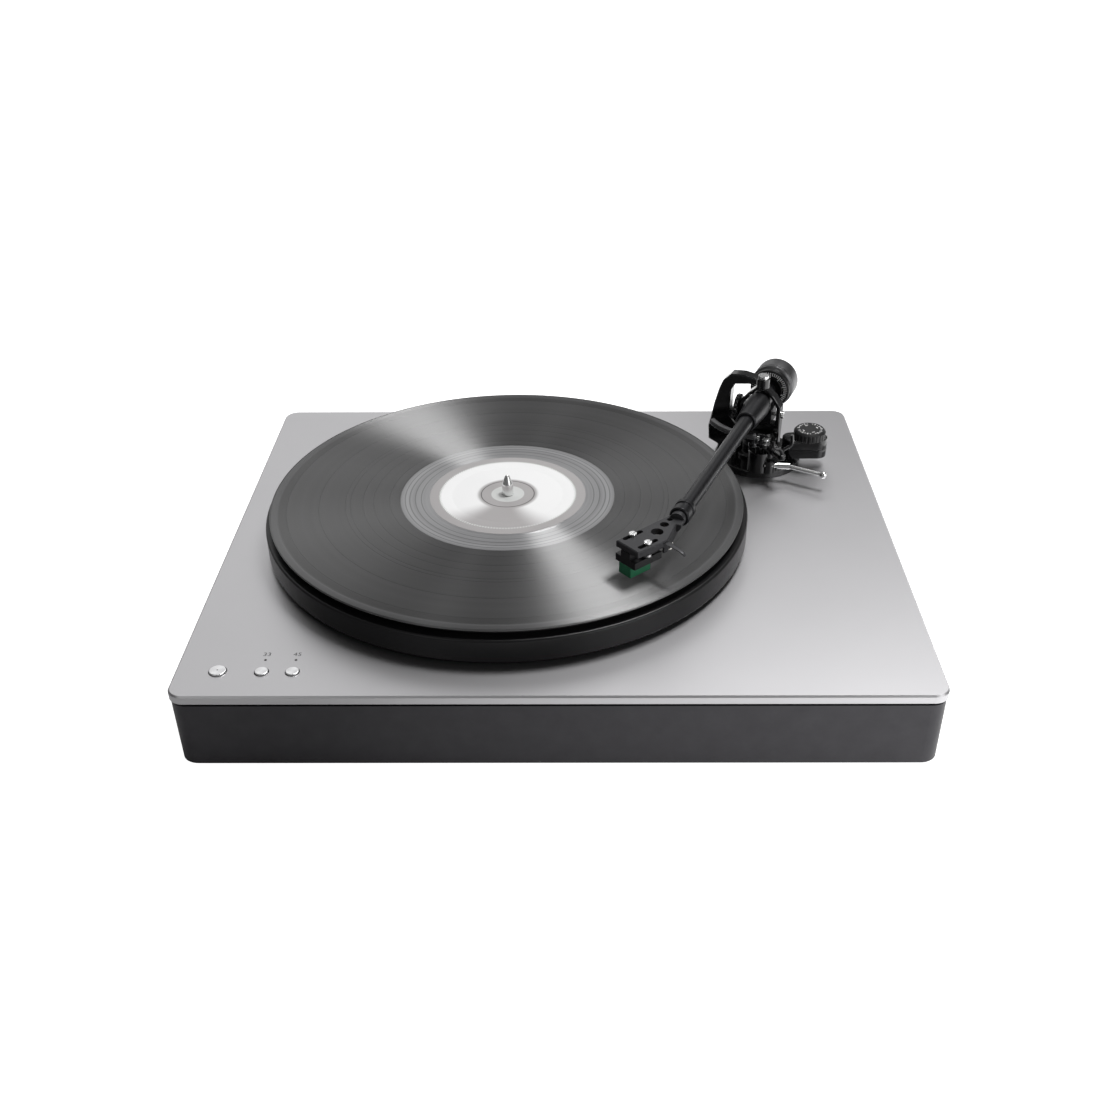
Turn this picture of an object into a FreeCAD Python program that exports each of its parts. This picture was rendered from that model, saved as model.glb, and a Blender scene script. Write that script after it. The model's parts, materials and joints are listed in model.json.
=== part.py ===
import FreeCAD, Part

import math
import os

import Sketcher
from FreeCAD import Placement, Rotation, Vector

# A belt-driven record player with a gimbal tonearm, made of separate pieces.
# Millimetres, +X to the right, +Y to the back, +Z up. The origin is the middle of the footprint, on the
# surface that the feet stand on. Most heights are counted from the top face of the metal plate.
# The tonearm has a frame of its own: its X runs along the arm from the pivot to the needle, its Y to the
# right of the arm, and its heading is the arm's direction as it plays a record.

SIZES = {
    "plate_width": 425,
    "plate_depth": 352,
    "plate_thick": 5.5,
    "plate_top": 58,
    "plate_round": 9,
    "shell_inset": 0.3,
    "shell_wall": 7,
    "shell_low": 10,
    "reveal": 1.2,
    "cover_thick": 3,
    "post_inset": 12.5,
    "foot_x": 162,
    "foot_y": 125,
    "foot_radius": 20,
    "spindle_x": -34.6,
    "spindle_y": 3.5,
    "spindle_radius": 3.6,
    "relief": 0.7,
    "journal": 4,
    "running": 0.05,
    "drive_radius": 60,
    "pulley_radius": 8,
    "belt_gap": 0.3,
    "belt_thick": 0.8,
    "motor_reach": 95,
    "motor_heading": 145,
    "platter_radius": 153.8,
    "platter_low": 3,
    "platter_web": 14,
    "platter_high": 18.1,
    "mat_radius": 146,
    "record_radius": 150.8,
    "record_low": 22,
    "record_top": 24,
    "groove_top": 23.7,
    "label_radius": 50,
    "power_x": -188.6,
    "power_y": -153,
    "power_radius": 4.8,
    "speed_y": -153.6,
    "slow_x": -164.2,
    "fast_x": -147.1,
    "speed_radius": 3.8,
    "button_gap": 0.4,
    "button_rise": 1,
    "light_y": -142.6,
    "light_radius": 0.75,
    "pivot_x": 138,
    "pivot_y": 98,
    "arm_heading": -112.8,
    "arm_axis": 45,
    "tilt_axis": 36.5,
    "park_turn": 36,
    "lift_heading": -95.7,
    "lift_reach": 25.1,
    "tube_tail": 5.2,
    "tube_nose": 4.6,
    "stub_radius": 4.4,
    "bush_radius": 8,
    "weight_radius": 15.2,
    "arch_half": 4.5,
    "hoop_half": 4,
}

HEADSHELL_REACH = 176
HEADSHELL_OFFSET = math.radians(26.4)

doc = FreeCAD.newDocument("record_player")
dim = doc.addObject("Spreadsheet::Sheet", "Dim")
for row, (alias, size) in enumerate(SIZES.items(), start=1):
    dim.set(f"A{row}", alias)
    dim.set(f"B{row}", str(size))
    dim.setAlias(f"B{row}", alias)
doc.recompute()

pieces = []


def number(size):
    """The value of a size, given as a number or as a formula of the sheet."""
    return float(dim.evalExpression(size)) if isinstance(size, str) else float(size)


def place(x=0, y=0, z=0, heading=0):
    """A placement formula: a point, and a turn about the upright axis."""
    return f"placement(vector({x}; {y}; {z}); rotation(vector(0; 0; 1); {heading}))"


STAND = place()
PLATE = place(z="Dim.plate_top")
SPINDLE = place("Dim.spindle_x", "Dim.spindle_y", "Dim.plate_top")
BELT = place("Dim.spindle_x", "Dim.spindle_y", "Dim.plate_top", "Dim.motor_heading")
MOTOR = place(
    "Dim.spindle_x + Dim.motor_reach * cos(Dim.motor_heading)",
    "Dim.spindle_y + Dim.motor_reach * sin(Dim.motor_heading)",
    "Dim.plate_top",
)
ARM = place("Dim.pivot_x", "Dim.pivot_y", "Dim.plate_top", "Dim.arm_heading")
ARM_TUBE = place("Dim.pivot_x", "Dim.pivot_y", "Dim.plate_top + Dim.arm_axis", "Dim.arm_heading")
LIFT = place("Dim.pivot_x", "Dim.pivot_y", "Dim.plate_top", "Dim.lift_heading")
PARK = place("Dim.pivot_x", "Dim.pivot_y", "Dim.plate_top", "Dim.arm_heading + Dim.park_turn")


def constrain(sketch, kind, geometry, point, size):
    """Fixes one coordinate of a point, or a radius, and ties it to the sheet if it is a formula."""
    if kind == "Radius":
        index = sketch.addConstraint(Sketcher.Constraint(kind, geometry, number(size)))
    else:
        index = sketch.addConstraint(Sketcher.Constraint(kind, -1, 1, geometry, point, number(size)))
    if isinstance(size, str):
        sketch.setExpression(f"Constraints[{index}]", size)


def outline(*points):
    """A closed loop of straight edges. A point is two sizes."""

    def draw(sketch):
        first = sketch.GeometryCount
        corners = [Vector(number(x), number(y), 0) for x, y in points]
        for corner, following in zip(corners, corners[1:] + corners[:1]):
            sketch.addGeometry(Part.LineSegment(corner, following), False)
        for i, (x, y) in enumerate(points):
            here = first + i
            following = first + (i + 1) % len(points)
            sketch.addConstraint(Sketcher.Constraint("Coincident", here, 2, following, 1))
            constrain(sketch, "DistanceX", here, 1, x)
            constrain(sketch, "DistanceY", here, 1, y)

    return draw


def box(x_low, x_high, y_low, y_high):
    """A rectangle between two pairs of sizes."""
    return outline((x_low, y_low), (x_high, y_low), (x_high, y_high), (x_low, y_high))


def ring(x, y, radius):
    """A circle."""

    def draw(sketch):
        circle = Part.Circle(Vector(number(x), number(y), 0), Vector(0, 0, 1), number(radius))
        index = sketch.addGeometry(circle, False)
        constrain(sketch, "Radius", index, 0, radius)
        constrain(sketch, "DistanceX", index, 3, x)
        constrain(sketch, "DistanceY", index, 3, y)

    return draw


def arc_geometry(x, y, radius, start, end):
    circle = Part.Circle(Vector(x, y, 0), Vector(0, 0, 1), radius)
    return Part.ArcOfCircle(circle, start, end)


def smooth_joints(sketch, first, count):
    """Joins the end of each of the newest edges to the start of the next, without a corner."""
    for i in range(count):
        following = first + (i + 1) % count
        sketch.addConstraint(Sketcher.Constraint("Tangent", first + i, 2, following, 1))


def rounded(width, depth, radius):
    """A rectangle about the origin with its four corners rounded."""

    def draw(sketch):
        half_x = number(width) / 2
        half_y = number(depth) / 2
        corner = number(radius)
        first = sketch.GeometryCount
        for quarter in range(4):
            start = quarter * math.pi / 2
            side_x = 1 if quarter in (0, 3) else -1
            side_y = 1 if quarter in (0, 1) else -1
            arc = arc_geometry(
                side_x * (half_x - corner), side_y * (half_y - corner), corner, start, start + math.pi / 2
            )
            sketch.addGeometry(arc, False)
            leaving = arc.EndPoint
            if quarter in (0, 2):
                entering = Vector(-side_x * (half_x - corner), leaving.y, 0)
            else:
                entering = Vector(leaving.x, -side_y * (half_y - corner), 0)
            sketch.addGeometry(Part.LineSegment(leaving, entering), False)
        smooth_joints(sketch, first, 8)
        for quarter in range(4):
            side_x = "" if quarter in (0, 3) else "-"
            side_y = "" if quarter in (0, 1) else "-"
            corner_arc = first + 2 * quarter
            constrain(sketch, "Radius", corner_arc, 0, radius)
            constrain(sketch, "DistanceX", corner_arc, 3, f"{side_x}(({width}) / 2 - ({radius}))")
            constrain(sketch, "DistanceY", corner_arc, 3, f"{side_y}(({depth}) / 2 - ({radius}))")

    return draw


def loop_round(near, near_radius, far, far_radius):
    """The taut loop round two circles, such as a belt, or a slot where the circles are equal."""

    def draw(sketch):
        start = Vector(number(near[0]), number(near[1]), 0)
        end = Vector(number(far[0]), number(far[1]), 0)
        big = number(near_radius)
        small = number(far_radius)
        reach = end - start
        heading = math.atan2(reach.y, reach.x)
        lean = math.acos((big - small) / reach.Length)
        near_arc = arc_geometry(start.x, start.y, big, heading + lean, heading - lean + 2 * math.pi)
        far_arc = arc_geometry(end.x, end.y, small, heading - lean, heading + lean)
        first = sketch.addGeometry(near_arc, False)
        sketch.addGeometry(Part.LineSegment(near_arc.EndPoint, far_arc.StartPoint), False)
        sketch.addGeometry(far_arc, False)
        sketch.addGeometry(Part.LineSegment(far_arc.EndPoint, near_arc.StartPoint), False)
        smooth_joints(sketch, first, 4)
        for arc, centre, radius in ((first, near, near_radius), (first + 2, far, far_radius)):
            constrain(sketch, "Radius", arc, 0, radius)
            constrain(sketch, "DistanceX", arc, 3, centre[0])
            constrain(sketch, "DistanceY", arc, 3, centre[1])

    return draw


def sector(inner, outer, start, end):
    """A piece of a flat ring about the origin, between two angles in degrees."""

    def draw(sketch):
        low = math.radians(start)
        high = math.radians(end)
        outer_arc = arc_geometry(0, 0, outer, low, high)
        inner_arc = arc_geometry(0, 0, inner, low, high)
        first = sketch.addGeometry(outer_arc, False)
        sketch.addGeometry(Part.LineSegment(outer_arc.EndPoint, inner_arc.EndPoint), False)
        sketch.addGeometry(inner_arc, False)
        sketch.addGeometry(Part.LineSegment(inner_arc.StartPoint, outer_arc.StartPoint), False)
        ends = ((0, 2, 1, 1), (1, 2, 2, 2), (2, 1, 3, 1), (3, 2, 0, 1))
        for one, one_end, other, other_end in ends:
            sketch.addConstraint(
                Sketcher.Constraint("Coincident", first + one, one_end, first + other, other_end)
            )
        for index in range(first, first + 4):
            sketch.addConstraint(Sketcher.Constraint("Block", index))

    return draw


def at_head(along, across):
    """A point of the headshell, which is turned inwards from the arm, in the arm's own frame."""
    cosine = math.cos(HEADSHELL_OFFSET)
    sine = math.sin(HEADSHELL_OFFSET)
    return (HEADSHELL_REACH + along * cosine + across * sine, across * cosine - along * sine)


def head_outline(*points):
    """A closed loop given by points of the headshell."""
    return outline(*[at_head(*point) for point in points])


def head_box(along_low, along_high, across_low, across_high):
    """A rectangle that is square to the headshell."""
    return head_outline(
        (along_low, across_low),
        (along_high, across_low),
        (along_high, across_high),
        (along_low, across_high),
    )


def head_ring(along, across, radius):
    """A circle at a point of the headshell."""
    return ring(*at_head(along, across), radius)


class Piece:
    """One sub-part: a body that is built up feature by feature in its own frame."""

    def __init__(self, label, where):
        self.body = doc.addObject("PartDesign::Body", label)
        self.body.Label = label
        self.body.AllowCompound = True
        self.body.setExpression("Placement", where)
        self.last = None
        pieces.append(self.body)

    def feature(self, kind, name):
        return self.body.newObject(kind, f"{self.body.Label}_{name}")

    def sketch(self, plane, offset, loops):
        drawing = self.feature("Sketcher::SketchObject", "sketch")
        origin_plane = next(item for item in self.body.Origin.OriginFeatures if item.Role == plane)
        drawing.AttachmentSupport = [(origin_plane, "")]
        drawing.MapMode = "FlatFace"
        drawing.AttachmentOffset = Placement(Vector(0, 0, number(offset)), Rotation())
        if isinstance(offset, str):
            drawing.setExpression("AttachmentOffset.Base.z", offset)
        for draw in loops:
            draw(drawing)
        return drawing

    def length(self, feature, size):
        feature.Length = number(size)
        if isinstance(size, str):
            feature.setExpression("Length", size)

    def volume(self):
        doc.recompute()
        return self.body.Shape.Volume

    def pad(self, start, height, *loops, plane="XY_Plane", both_ways=False):
        """Adds a prism that starts at a level and grows along the plane's normal."""
        pad = self.feature("PartDesign::Pad", "pad")
        pad.Profile = self.sketch(plane, start, loops)
        self.length(pad, height)
        if both_ways:
            pad.SideType = "Symmetric"
        self.last = pad
        return self

    def cut(self, start, height, *loops, plane="XY_Plane"):
        """Cuts a prism that starts at a level and grows along the plane's normal."""
        before = self.volume()
        pocket = self.feature("PartDesign::Pocket", "pocket")
        pocket.Profile = self.sketch(plane, start, loops)
        self.length(pocket, height)
        pocket.Reversed = True
        self.last = pocket
        if self.volume() > before - 1e-6:
            raise RuntimeError(f"a pocket of {self.body.Label} cuts nothing")
        return self

    def turn(self, *points):
        """Adds a solid of revolution about the upright axis. A point is a radius and a height."""
        return self.revolve("V_Axis", points)

    def turn_along(self, *points):
        """Adds a solid of revolution about the frame's X. A point is a distance along it and a radius."""
        return self.revolve("H_Axis", points)

    def revolve(self, axis, points):
        revolution = self.feature("PartDesign::Revolution", "turn")
        profile = self.sketch("XZ_Plane", 0, [outline(*points)])
        revolution.Profile = profile
        revolution.ReferenceAxis = (profile, [axis])
        revolution.Angle = 360
        self.last = revolution
        return self

    def bevel(self, size, direction, level):
        """Chamfers the edges of the flat face that looks along a direction at a level of the frame."""
        doc.recompute()
        aim = Vector(*direction)
        names = []
        for index, face in enumerate(self.last.Shape.Faces, start=1):
            flat = isinstance(face.Surface, Part.Plane) and face.normalAt(0, 0).dot(aim) > 0.999
            if flat and abs(face.CenterOfMass.dot(aim) - number(level)) < 1e-3:
                names.append(f"Face{index}")
        if not names:
            raise RuntimeError(f"{self.body.Label} has no face to bevel")
        chamfer = self.feature("PartDesign::Chamfer", "chamfer")
        chamfer.Base = (self.last, names)
        chamfer.Size = size
        self.last = chamfer
        return self

    def repeat(self, count):
        """Repeats the newest feature about the frame's X."""
        return self.spread(count, "X_Axis")

    def repeat_upright(self, count):
        """Repeats the newest feature about the upright axis."""
        return self.spread(count, "Z_Axis")

    def spread(self, count, role):
        doc.recompute()
        pattern = self.feature("PartDesign::PolarPattern", "pattern")
        axis = next(item for item in self.body.Origin.OriginFeatures if item.Role == role)
        pattern.Originals = [self.last]
        pattern.Axis = (axis, [""])
        pattern.Angle = 360
        pattern.Occurrences = count
        self.body.Tip = pattern
        self.last = pattern
        return self


def rod(name, start, end, radius, where):
    """A round bar between two points of a frame, as a primitive."""
    begin = Vector(*[number(size) for size in start])
    reach = Vector(*[number(size) for size in end]) - begin
    bar = doc.addObject("Part::Cylinder", name)
    bar.Radius = radius
    bar.Height = reach.Length
    bar.Placement = where * Placement(begin, Rotation(Vector(0, 0, 1), reach))
    return bar


def frame_of(heading):
    """The plate-level frame at the tonearm's pivot, turned to a heading, for the primitives."""
    base = Vector(number("Dim.pivot_x"), number("Dim.pivot_y"), number("Dim.plate_top"))
    return Placement(base, Rotation(Vector(0, 0, 1), number(heading)))


def join(label, tools):
    """One sub-part made of several primitives."""
    fused = doc.addObject("Part::MultiFuse", label)
    fused.Label = label
    fused.Shapes = tools
    pieces.append(fused)


def four_corners(x, y):
    """The points at plus and minus x and y, as formulas."""
    return [(f"{sx}({x})", f"{sy}({y})") for sx in ("", "-") for sy in ("", "-")]


POSTS = four_corners(
    "Dim.plate_width / 2 - Dim.shell_inset - Dim.post_inset",
    "Dim.plate_depth / 2 - Dim.shell_inset - Dim.post_inset",
)
FEET = four_corners("Dim.foot_x", "Dim.foot_y")
BUTTONS = (
    ("power_button", "Dim.power_x", "Dim.power_y", "Dim.power_radius"),
    ("speed_33_button", "Dim.slow_x", "Dim.speed_y", "Dim.speed_radius"),
    ("speed_45_button", "Dim.fast_x", "Dim.speed_y", "Dim.speed_radius"),
)
LIGHTS = [(x, "Dim.light_y") for x in ("Dim.slow_x", "Dim.fast_x")]
PLATE_UNDER = "-Dim.plate_thick"
PANEL_X = (40, 160)


# The casing.


def top_plate():
    arm_hole = 11
    motor_hole = 11
    bearing_hole = 12.5
    motor_x = "Dim.spindle_x + Dim.motor_reach * cos(Dim.motor_heading)"
    motor_y = "Dim.spindle_y + Dim.motor_reach * sin(Dim.motor_heading)"
    plate = Piece("top_plate", PLATE)
    footprint = rounded("Dim.plate_width", "Dim.plate_depth", "Dim.plate_round")
    plate.pad(PLATE_UNDER, "Dim.plate_thick", footprint)
    plate.bevel(1, (0, 0, 1), 0)
    plate.bevel(0.4, (0, 0, -1), "Dim.plate_thick")
    holes = [
        ring("Dim.spindle_x", "Dim.spindle_y", bearing_hole),
        ring(motor_x, motor_y, motor_hole),
        ring("Dim.pivot_x", "Dim.pivot_y", arm_hole),
    ]
    for label, x, y, radius in BUTTONS:
        holes.append(ring(x, y, f"{radius} + Dim.button_gap"))
    for x, y in LIGHTS:
        holes.append(ring(x, y, "Dim.light_radius + 0.05"))
    plate.cut(PLATE_UNDER, "Dim.plate_thick", *holes)
    plate.cut(PLATE_UNDER, 4, *[ring(x, y, 1.9) for x, y in POSTS])


def plinth_shell():
    height = "Dim.plate_top - Dim.plate_thick - Dim.shell_low"
    width = "Dim.plate_width - 2 * Dim.shell_inset"
    depth = "Dim.plate_depth - 2 * Dim.shell_inset"
    reveal_depth = 1.5
    shell = Piece("plinth_shell", STAND)
    shell.pad("Dim.shell_low", height, rounded(width, depth, 10))
    shell.bevel(0.8, (0, 0, -1), "-Dim.shell_low")
    shell.cut(
        "Dim.shell_low",
        height,
        rounded(f"{width} - 2 * Dim.shell_wall", f"{depth} - 2 * Dim.shell_wall", 5),
    )
    shell.cut(
        "Dim.plate_top - Dim.plate_thick - Dim.reveal",
        "Dim.reveal",
        rounded(f"{width} + 4", f"{depth} + 4", 12),
        rounded(f"{width} - 2 * {reveal_depth}", f"{depth} - 2 * {reveal_depth}", 8.5),
    )
    post_low = "Dim.shell_low + Dim.cover_thick"
    post_height = f"{height} - Dim.cover_thick"
    shell.pad(post_low, post_height, *[ring(x, y, 6) for x, y in POSTS])
    shell.cut(post_low, post_height, *[ring(x, y, 2.2) for x, y in POSTS])
    shell.cut(18, 24, box(*PANEL_X, "Dim.plate_depth / 2 - 12", "Dim.plate_depth / 2"))


def bottom_cover():
    fit = 0.2
    across = "(2 * Dim.shell_inset + 2 * Dim.shell_wall)"
    vent_width = 1.5
    cover = Piece("bottom_cover", STAND)
    cover.pad(
        "Dim.shell_low",
        "Dim.cover_thick",
        rounded(f"Dim.plate_width - {across} - 2 * {fit}", f"Dim.plate_depth - {across} - 2 * {fit}", 4.8),
    )
    vents = [loop_round((-130, y), vent_width, (-95, y), vent_width) for y in (46, 52, 58, 64, 70)]
    cover.cut("Dim.shell_low", "Dim.cover_thick", *vents, *[ring(x, y, 2.2) for x, y in POSTS])


def case_screws():
    """Long screws that hold the cover, the shell and the plate together from below."""
    screws = Piece("case_screws", STAND)
    screws.pad("Dim.shell_low - 2", 2, *[ring(x, y, 3.6) for x, y in POSTS])
    screws.pad(
        "Dim.shell_low",
        "Dim.plate_top - Dim.plate_thick + 3.5 - Dim.shell_low",
        *[ring(x, y, 1.85) for x, y in POSTS],
    )
    slots = [box(f"{x} - 2.4", f"{x} + 2.4", f"{y} - 0.5", f"{y} + 0.5") for x, y in POSTS]
    screws.cut("Dim.shell_low - 2", 1, *slots)


def feet():
    pad_height = 3
    cups = Piece("foot_cups", STAND)
    cups.pad(pad_height, f"Dim.shell_low - {pad_height}", *[ring(x, y, "Dim.foot_radius") for x, y in FEET])
    cups.bevel(1.2, (0, 0, -1), -pad_height)
    pads = Piece("foot_pads", STAND)
    pads.pad(0, pad_height, *[ring(x, y, "Dim.foot_radius - 3") for x, y in FEET])
    pads.bevel(0.6, (0, 0, -1), 0)


def rear_connectors():
    """The panel at the back with two signal sockets, the earth post and the power inlet."""
    wall = "Dim.plate_depth / 2 - Dim.shell_inset - Dim.shell_wall"
    level = 30
    signal_x = (60, 80)
    earth_x = 104
    inlet_x = 140
    side = "YZ_Plane"

    def facing_back(x):
        return place(x=x, y=wall, z=level, heading=90)

    tail = 3
    barrel = 4.15
    holes = [ring(-x, 0, tail) for x in signal_x] + [ring(-earth_x, 0, 2), ring(-inlet_x, 0, 4.5)]
    panel = Piece("rear_panel", facing_back(0))
    panel.pad(-2, 2, box(-PANEL_X[1] - 4, 4 - PANEL_X[0], -15, 15), *holes, plane=side)
    sockets = Piece("rca_sockets", facing_back(0))
    sockets.pad(-8, 8, *[ring(-x, 0, tail) for x in signal_x], plane=side)
    sockets.pad(0, 7, *[ring(-x, 0, barrel) for x in signal_x], plane=side)
    for x in signal_x:
        sockets.cut(1, 6, ring(-x, 0, barrel - 0.5), ring(-x, 0, 2.4), plane=side)
        sockets.cut(-2, 9, ring(-x, 0, 1.6), plane=side)
    earth = Piece("earth_terminal", facing_back(earth_x))
    earth.turn_along((-8, 0), (-8, 2), (1, 2), (1, 4.5), (5, 4.5), (5, 2), (6.5, 2), (6.5, 0))
    inlet = Piece("power_inlet", facing_back(inlet_x))
    inlet.turn_along((-12, 0), (-12, 4.5), (3, 4.5), (3, 2.8), (-7, 2.8), (-7, 1), (1, 0.8), (1, 0))


# The platter, its bearing and its drive.


def main_bearing():
    housing = Piece("bearing_housing", SPINDLE)
    housing.turn(
        (7, -0.5),
        (12.2, -0.5),
        (12.2, PLATE_UNDER),
        (26, PLATE_UNDER),
        (26, -9.5),
        (11, -9.5),
        (11, -42),
        (0, -42),
        (0, -38),
        (7, -38),
    )
    bush = Piece("bearing_bush", SPINDLE)
    bush.turn(("Dim.journal", -1), (7, -1), (7, -34), ("Dim.journal", -34))
    ball = doc.addObject("Part::Sphere", "thrust_ball")
    ball.Label = "thrust_ball"
    ball.Radius = 2.5
    ball.setExpression("Placement", place("Dim.spindle_x", "Dim.spindle_y", "Dim.plate_top - 35.5"))
    pieces.append(ball)


def platter_assembly():
    spindle = Piece("spindle", SPINDLE)
    spindle.turn(
        (0, -32.7),
        ("Dim.journal - Dim.running", -32.7),
        ("Dim.journal - Dim.running", 0.3),
        (11, 0.3),
        (11, 4),
        (6, 4),
        (6, "Dim.platter_high"),
        ("Dim.spindle_radius", "Dim.platter_high"),
        ("Dim.spindle_radius", "Dim.record_top - 0.8"),
        ("Dim.spindle_radius - Dim.relief", "Dim.record_top - 0.8"),
        ("Dim.spindle_radius - Dim.relief", "Dim.record_top + 0.2"),
        ("Dim.spindle_radius", "Dim.record_top + 0.2"),
        ("Dim.spindle_radius", "Dim.record_top + 7.3"),
        (1.4, "Dim.record_top + 13"),
        (0.7, "Dim.record_top + 13.7"),
        (0, "Dim.record_top + 13.7"),
    )
    wheel = Piece("sub_platter", SPINDLE)
    wheel.turn(
        (6, 4),
        (14, 4),
        (14, 9),
        ("Dim.drive_radius - 6", 9),
        ("Dim.drive_radius - 6", 3.6),
        ("Dim.drive_radius", 3.6),
        ("Dim.drive_radius", "Dim.platter_web"),
        (6, "Dim.platter_web"),
    )
    platter = Piece("platter", SPINDLE)
    platter.turn(
        (6, "Dim.platter_web"),
        (112, "Dim.platter_web"),
        (112, "Dim.platter_low"),
        ("Dim.platter_radius - 0.8", "Dim.platter_low"),
        ("Dim.platter_radius", "Dim.platter_low + 0.8"),
        ("Dim.platter_radius", "Dim.platter_high - 1"),
        ("Dim.platter_radius - 1", "Dim.platter_high"),
        (6, "Dim.platter_high"),
    )
    mat = Piece("slip_mat", SPINDLE)
    mat.turn(
        (3.7, "Dim.platter_high"),
        ("Dim.mat_radius", "Dim.platter_high"),
        ("Dim.mat_radius", "Dim.record_low"),
        (3.7, "Dim.record_low"),
    )
    record = Piece("record", SPINDLE)
    record.turn(
        (3.65, "Dim.record_low"),
        ("Dim.record_radius - 0.6", "Dim.record_low"),
        ("Dim.record_radius", "Dim.record_low + 0.6"),
        ("Dim.record_radius", "Dim.record_top - 0.6"),
        ("Dim.record_radius - 0.6", "Dim.record_top"),
        ("Dim.record_radius - 3.5", "Dim.record_top"),
        ("Dim.record_radius - 4.5", "Dim.groove_top"),
        ("Dim.label_radius + 1.6", "Dim.groove_top"),
        ("Dim.label_radius + 0.6", "Dim.record_top"),
        (3.65, "Dim.record_top"),
    )
    label = Piece("record_label", SPINDLE)
    label.turn(
        (3.7, "Dim.record_top"),
        ("Dim.label_radius", "Dim.record_top"),
        ("Dim.label_radius", "Dim.record_top + 0.15"),
        (3.7, "Dim.record_top + 0.15"),
    )


def motor():
    shaft = 1.25
    case = Piece("motor_case", MOTOR)
    case.turn(
        (0, -34),
        (18, -34),
        (18, -9.5),
        (24, -9.5),
        (24, PLATE_UNDER),
        (f"{shaft} + Dim.running", PLATE_UNDER),
        (f"{shaft} + Dim.running", -20),
        (0, -20),
    )
    Piece("motor_shaft", MOTOR).turn((0, -19.6), (shaft, -19.6), (shaft, 12.8), (0, 12.8))
    pulley = Piece("motor_pulley", MOTOR)
    pulley.turn(
        (shaft, 3.4),
        ("Dim.pulley_radius + 1.5", 3.4),
        ("Dim.pulley_radius + 1.5", 4.4),
        ("Dim.pulley_radius", 5),
        ("Dim.pulley_radius", 12),
        ("Dim.pulley_radius + 1.5", 12.6),
        ("Dim.pulley_radius + 1.5", 13.5),
        (shaft, 13.5),
    )
    belt = Piece("drive_belt", BELT)
    loops = [
        loop_round(
            (0, 0), f"Dim.drive_radius + {skin}", ("Dim.motor_reach", 0), f"Dim.pulley_radius + {skin}"
        )
        for skin in ("Dim.belt_gap", "Dim.belt_gap + Dim.belt_thick")
    ]
    belt.pad(6, 5, *loops)


# The controls and the circuit boards.


def controls():
    rim = 0.4
    for label, x, y, radius in BUTTONS:
        button = Piece(label, place(x, y, "Dim.plate_top"))
        button.turn(
            (0, "Dim.button_rise"),
            (f"{radius} - {rim}", "Dim.button_rise"),
            (radius, f"Dim.button_rise - {rim}"),
            (radius, -6.2),
            (f"{radius} + 1.4", -6.2),
            (f"{radius} + 1.4", -7.2),
            (2, -7.2),
            (2, -11),
            (0, -11),
        )
    board_top = -15.5
    board_thick = 1.6
    switch_half = 3
    board = Piece("control_board", PLATE)
    board.pad(board_top - board_thick, board_thick, box(-192, -134, -165, -137))
    switches = Piece("tact_switches", PLATE)
    bodies = [
        box(f"{x} - {switch_half}", f"{x} + {switch_half}", f"{y} - {switch_half}", f"{y} + {switch_half}")
        for label, x, y, radius in BUTTONS
    ]
    switches.pad(board_top, 3.3, *bodies)
    pipes = Piece("light_pipes", PLATE)
    pipes.pad(board_top, 0.15 - board_top, *[ring(x, y, "Dim.light_radius") for x, y in LIGHTS])
    preamp = Piece("phono_board", PLATE)
    preamp_top = -28.4
    preamp.pad(preamp_top - board_thick, board_thick, box(36, 162, 118, 154))
    control_spacers = [ring(x, y, 2) for x in (-178, -138) for y in (-162, -140)]
    preamp_spacers = [ring(x, y, 2) for x in (41, 157) for y in (123, 149)]
    spacers = Piece("board_spacers", PLATE)
    spacers.pad(board_top, f"{-board_top} - Dim.plate_thick", *control_spacers)
    spacers.pad(preamp_top, f"{-preamp_top} - Dim.plate_thick", *preamp_spacers)


# The tonearm's fixed base.


def arm_base():
    base = Piece("arm_base", ARM)
    base.turn((0, 5), (29.2, 5), (30, 4.2), (30, 0), (10.8, 0), (10.8, -14), (0, -14))
    nut = Piece("arm_base_nut", ARM)
    nut.turn((10.8, PLATE_UNDER), (18, PLATE_UNDER), (18, -10), (10.8, -10))
    pillar = Piece("arm_pillar", ARM)
    pillar.turn(
        (0, 5),
        (15, 5),
        (15, 7),
        (12.5, 8.5),
        (12.5, 18),
        (12.9, 18.6),
        (12.9, 21.5),
        (12, 22.4),
        (12, 24),
        (3.1, 24),
        (3.1, 12),
        (0, 12),
    )


def bearing_arch():
    """The fixed arch that reaches over the arm and holds its upper upright bearing."""
    boss_low = 55
    boss_high = 61.5
    arch = Piece("bearing_arch", ARM)
    arch.pad(
        0,
        "2 * Dim.arch_half",
        outline(
            (-28.5, 5),
            (-28.5, 8),
            (-35.5, 11),
            (-36.2, 21),
            (-35.3, 25.2),
            (-32.8, 39.3),
            (-30, 50.4),
            (-27.5, 57),
            (-22, 62.6),
            (-13.4, 63.3),
            (-3, 61.5),
            (-3, 57.6),
            (-9.3, 57.2),
            (-18.6, 55.6),
            (-21.2, 51),
            (-21.6, 36.4),
            (-20.5, 31),
            (-16.6, 27),
            (-16.6, 5),
        ),
        plane="YZ_Plane",
        both_ways=True,
    )
    arch.bevel(0.7, (1, 0, 0), "Dim.arch_half")
    arch.bevel(0.7, (-1, 0, 0), "Dim.arch_half")
    arch.turn((0, boss_low), (4.6, boss_low), (4.6, boss_high), (0, boss_high))
    arch.cut(boss_low, 10, ring(0, 0, 2))
    arch.cut(-10, 10, ring(-20, 22, 2), plane="YZ_Plane")
    screw = Piece("top_bearing_screw", ARM)
    screw.turn(
        (0, 53.4),
        (1.45, 53.4),
        (1.45, boss_low),
        (2, boss_low),
        (2, boss_high),
        (3.7, boss_high),
        (3.7, 63.7),
        (0, 63.7),
    )
    screw.cut(62.8, 0.9, box(-0.4, 0.4, -4, 4))


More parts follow.
